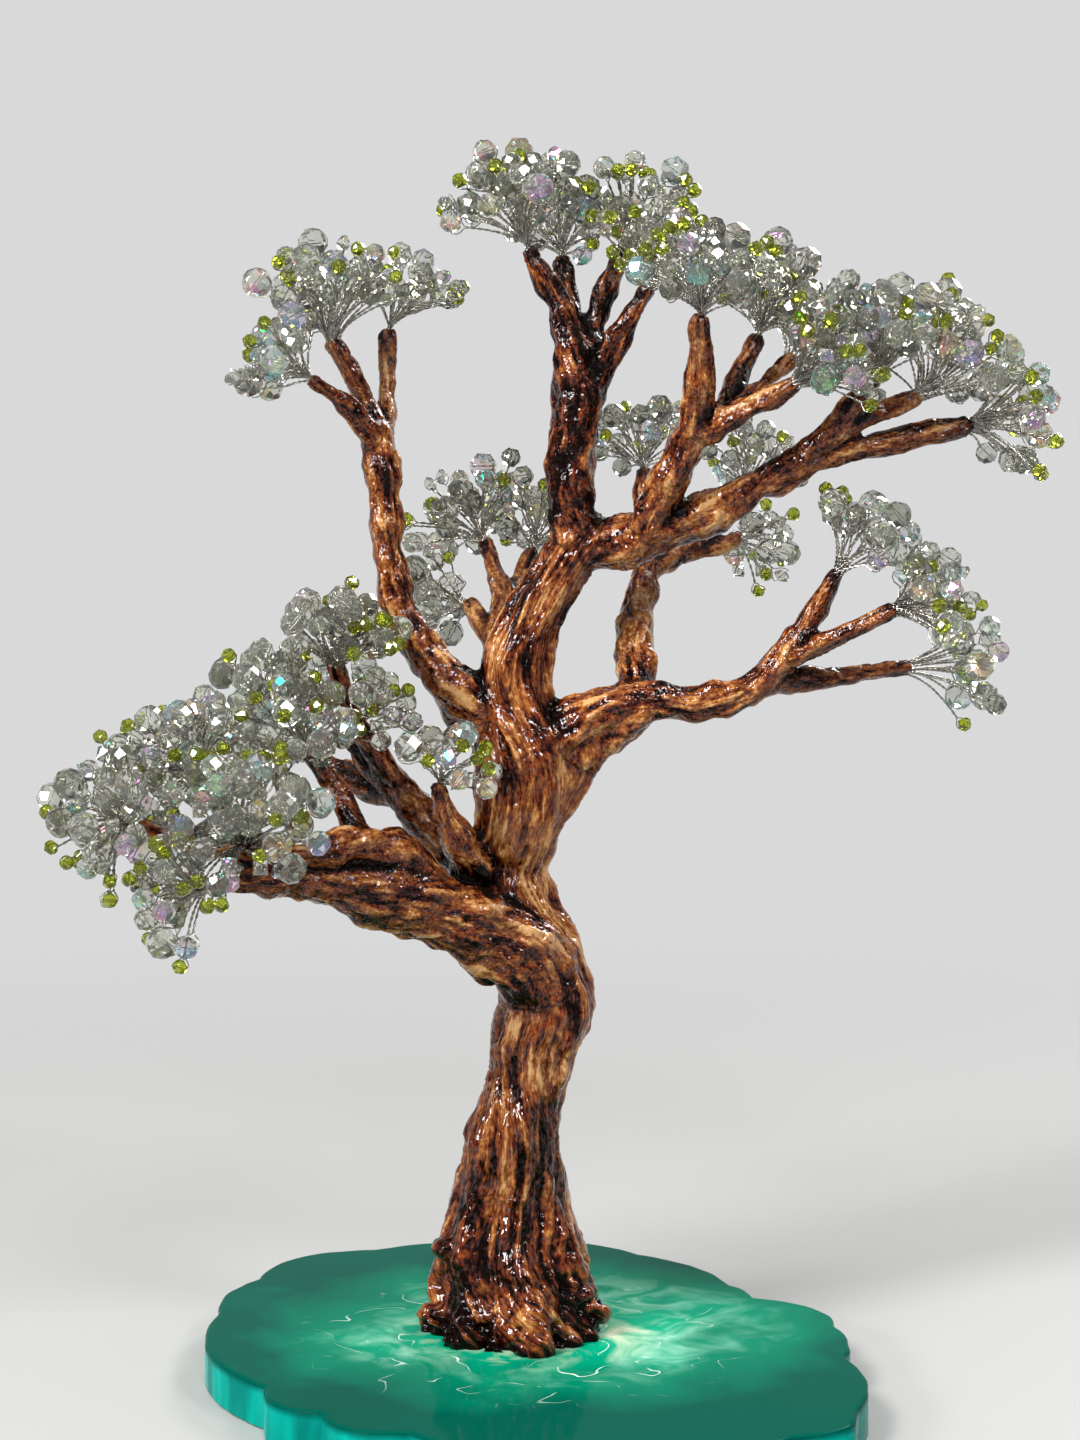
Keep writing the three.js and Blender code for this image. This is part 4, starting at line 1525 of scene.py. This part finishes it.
@dataclass
class Studio:
    """Camera at the photograph's angle, a pale floor, and soft light from five lamps and the room.

    Lengths are in metres and angles in degrees. The room's bands are heights from level to straight up.
    """

    eye: Triple = (0.0, -0.600, 0.195)
    pitch: float = 2.3
    lens: float = 58.5
    sensor: float = 36.0
    floor_radius: float = 4.0
    floor_sides: int = 96
    floor_colour: str = "#a4a4a2"
    room_colour: str = "#d9d9da"
    shade_colour: str = "#3c3d40"
    front_colour: str = "#959699"
    zenith_colour: str = "#dcdcdc"
    room_band: Span = (0.0, 0.3)
    shade_band: Span = (0.44, 0.72)
    zenith: float = 0.86
    behind: Span = (-0.1, 0.45)
    aim: Triple = (0.0, 0.0, 0.17)
    lamps: tuple[Lamp, ...] = (
        Lamp("key", (-1.1, -1.1, 1.53), 0.64, 52.0),
        Lamp("back", (1.0, 1.4, 1.43), 0.7, 24.0),
        Lamp("fill", (1.3, -1.1, 1.5), 0.4, 19.0),
        Lamp("side", (-1.5, -1.2, 0.8), 0.36, 27.0),
        Lamp("front", (0.2, -1.5, 1.3), 0.32, 12.0))

    def build(self) -> None:
        """Makes the camera, floor, room light and lamps."""
        scene = bpy.context.scene
        scene.view_settings.view_transform = "Standard"
        camera = bpy.data.cameras.new("camera")
        camera.lens = self.lens
        camera.sensor_width = self.sensor
        holder = bpy.data.objects.new("camera", camera)
        holder.location = self.eye
        holder.rotation_euler = (math.radians(90 - self.pitch), 0, 0)
        scene.collection.objects.link(holder)
        scene.camera = holder
        self._floor()
        self._room(scene)
        for lamp in self.lamps:
            self._hang(lamp)

    def _floor(self) -> None:
        """Makes the floor."""
        form = bmesh.new()
        bmesh.ops.create_circle(form, cap_ends=True, segments=self.floor_sides, radius=self.floor_radius)
        floor = form_object("floor", form)
        finish = PaleFloor("pale_floor", self.floor_colour, self.front_colour, self.room_colour, self.behind)
        floor.data.materials.append(finish.material())

    def _room(self, scene: Scene) -> None:
        """Makes the room: pale behind the tree and overhead, dimmer elsewhere, so that glass has edges.

        Args:
            scene: The scene that takes the room's light.
        """
        world = bpy.data.worlds.new("room")
        world.use_nodes = True
        tree = world.node_tree
        tree.nodes.clear()
        place = add_node(tree, "TexCoord").outputs["Generated"]
        split = add_node(tree, "SeparateXYZ", {0: place})
        band = add_node(tree, "ValToRGB", {"Fac": split.outputs["Z"]}, stops=(
            (self.room_band[0], self.room_colour), (self.room_band[1], self.room_colour),
            (self.shade_band[0], self.shade_colour), (self.shade_band[1], self.shade_colour),
            (self.zenith, self.zenith_colour)))
        behind = add_node(tree, "MapRange", {"Value": split.outputs["Y"], **from_span(self.behind)})
        overhead = (self.shade_band[1], self.zenith)
        above = add_node(tree, "MapRange", {"Value": split.outputs["Z"], **from_span(overhead)})
        pale = add_node(tree, "Math", {0: behind, 1: above}, operation="MAXIMUM")
        colour = add_node(tree, "Mix", {
            MIX_SHARE: pale, MIX_FIRST: linear(self.front_colour), MIX_SECOND: band}, data_type="RGBA")
        light = add_node(tree, "Background", {"Color": colour, "Strength": 1.0})
        output = add_node(tree, "OutputWorld", {"Surface": light})
        output.is_active_output = True
        scene.world = world

    def _hang(self, lamp: Lamp) -> None:
        """Hangs a lamp that looks at the middle of the tree.

        Args:
            lamp: The lamp.
        """
        light = bpy.data.lights.new(lamp.name, "AREA")
        light.energy = lamp.power
        light.size = lamp.size
        holder = bpy.data.objects.new(lamp.name, light)
        holder.location = lamp.place
        holder.rotation_mode = "QUATERNION"
        holder.rotation_quaternion = (Vector(self.aim) - Vector(lamp.place)).to_track_quat("-Z", "Y")
        bpy.context.scene.collection.objects.link(holder)


def dress_armature(wire: Material) -> None:
    """Gives the wire bundles inside the bark the wire's finish.

    Args:
        wire: The wire's material.
    """
    for name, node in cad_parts.items():
        if name.endswith("armature"):
            node.data.materials.clear()
            node.data.materials.append(wire)


def log_piece(piece: Object) -> None:
    """Reports a finished piece."""
    log.info("%s: %d faces", piece.name, len(piece.data.polygons))


def main() -> None:
    """Builds the tree piece by piece."""
    logging.basicConfig(level=logging.INFO, format="%(name)s: %(message)s")
    Studio().build()
    base = ResinBase()
    slab = base.build()
    base.dress(slab, CastResin(), ResinEdge())
    log_piece(slab)
    branches = all_branches()
    coat = BarkCoat(branches)
    bark = coat.build()
    coat.dress(bark, VarnishedBark())
    log_piece(bark)
    wire = DrawnWire().material()
    dress_armature(wire)
    dresser = SprayDresser(
        wire=wire,
        crystals={
            CutGlass("clear_crystal", "#dedfd5").material(): 0.46,
            CutGlass("coated_crystal", "#e8e9e4", (165.0, 310.0)).material(): 0.32,
            CutGlass("smoke_crystal", "#b4b4a8").material(): 0.22,
        },
        green=CutGlass("olive_crystal", "#b7c238").material(),
    )
    for name, (wires, beads) in Foliage(branches).build().items():
        log_piece(dresser.wires(name, wires))
        log_piece(dresser.beads(name, beads, green=False))
        log_piece(dresser.beads(name, beads, green=True))


if __name__ == "__main__":
    main()
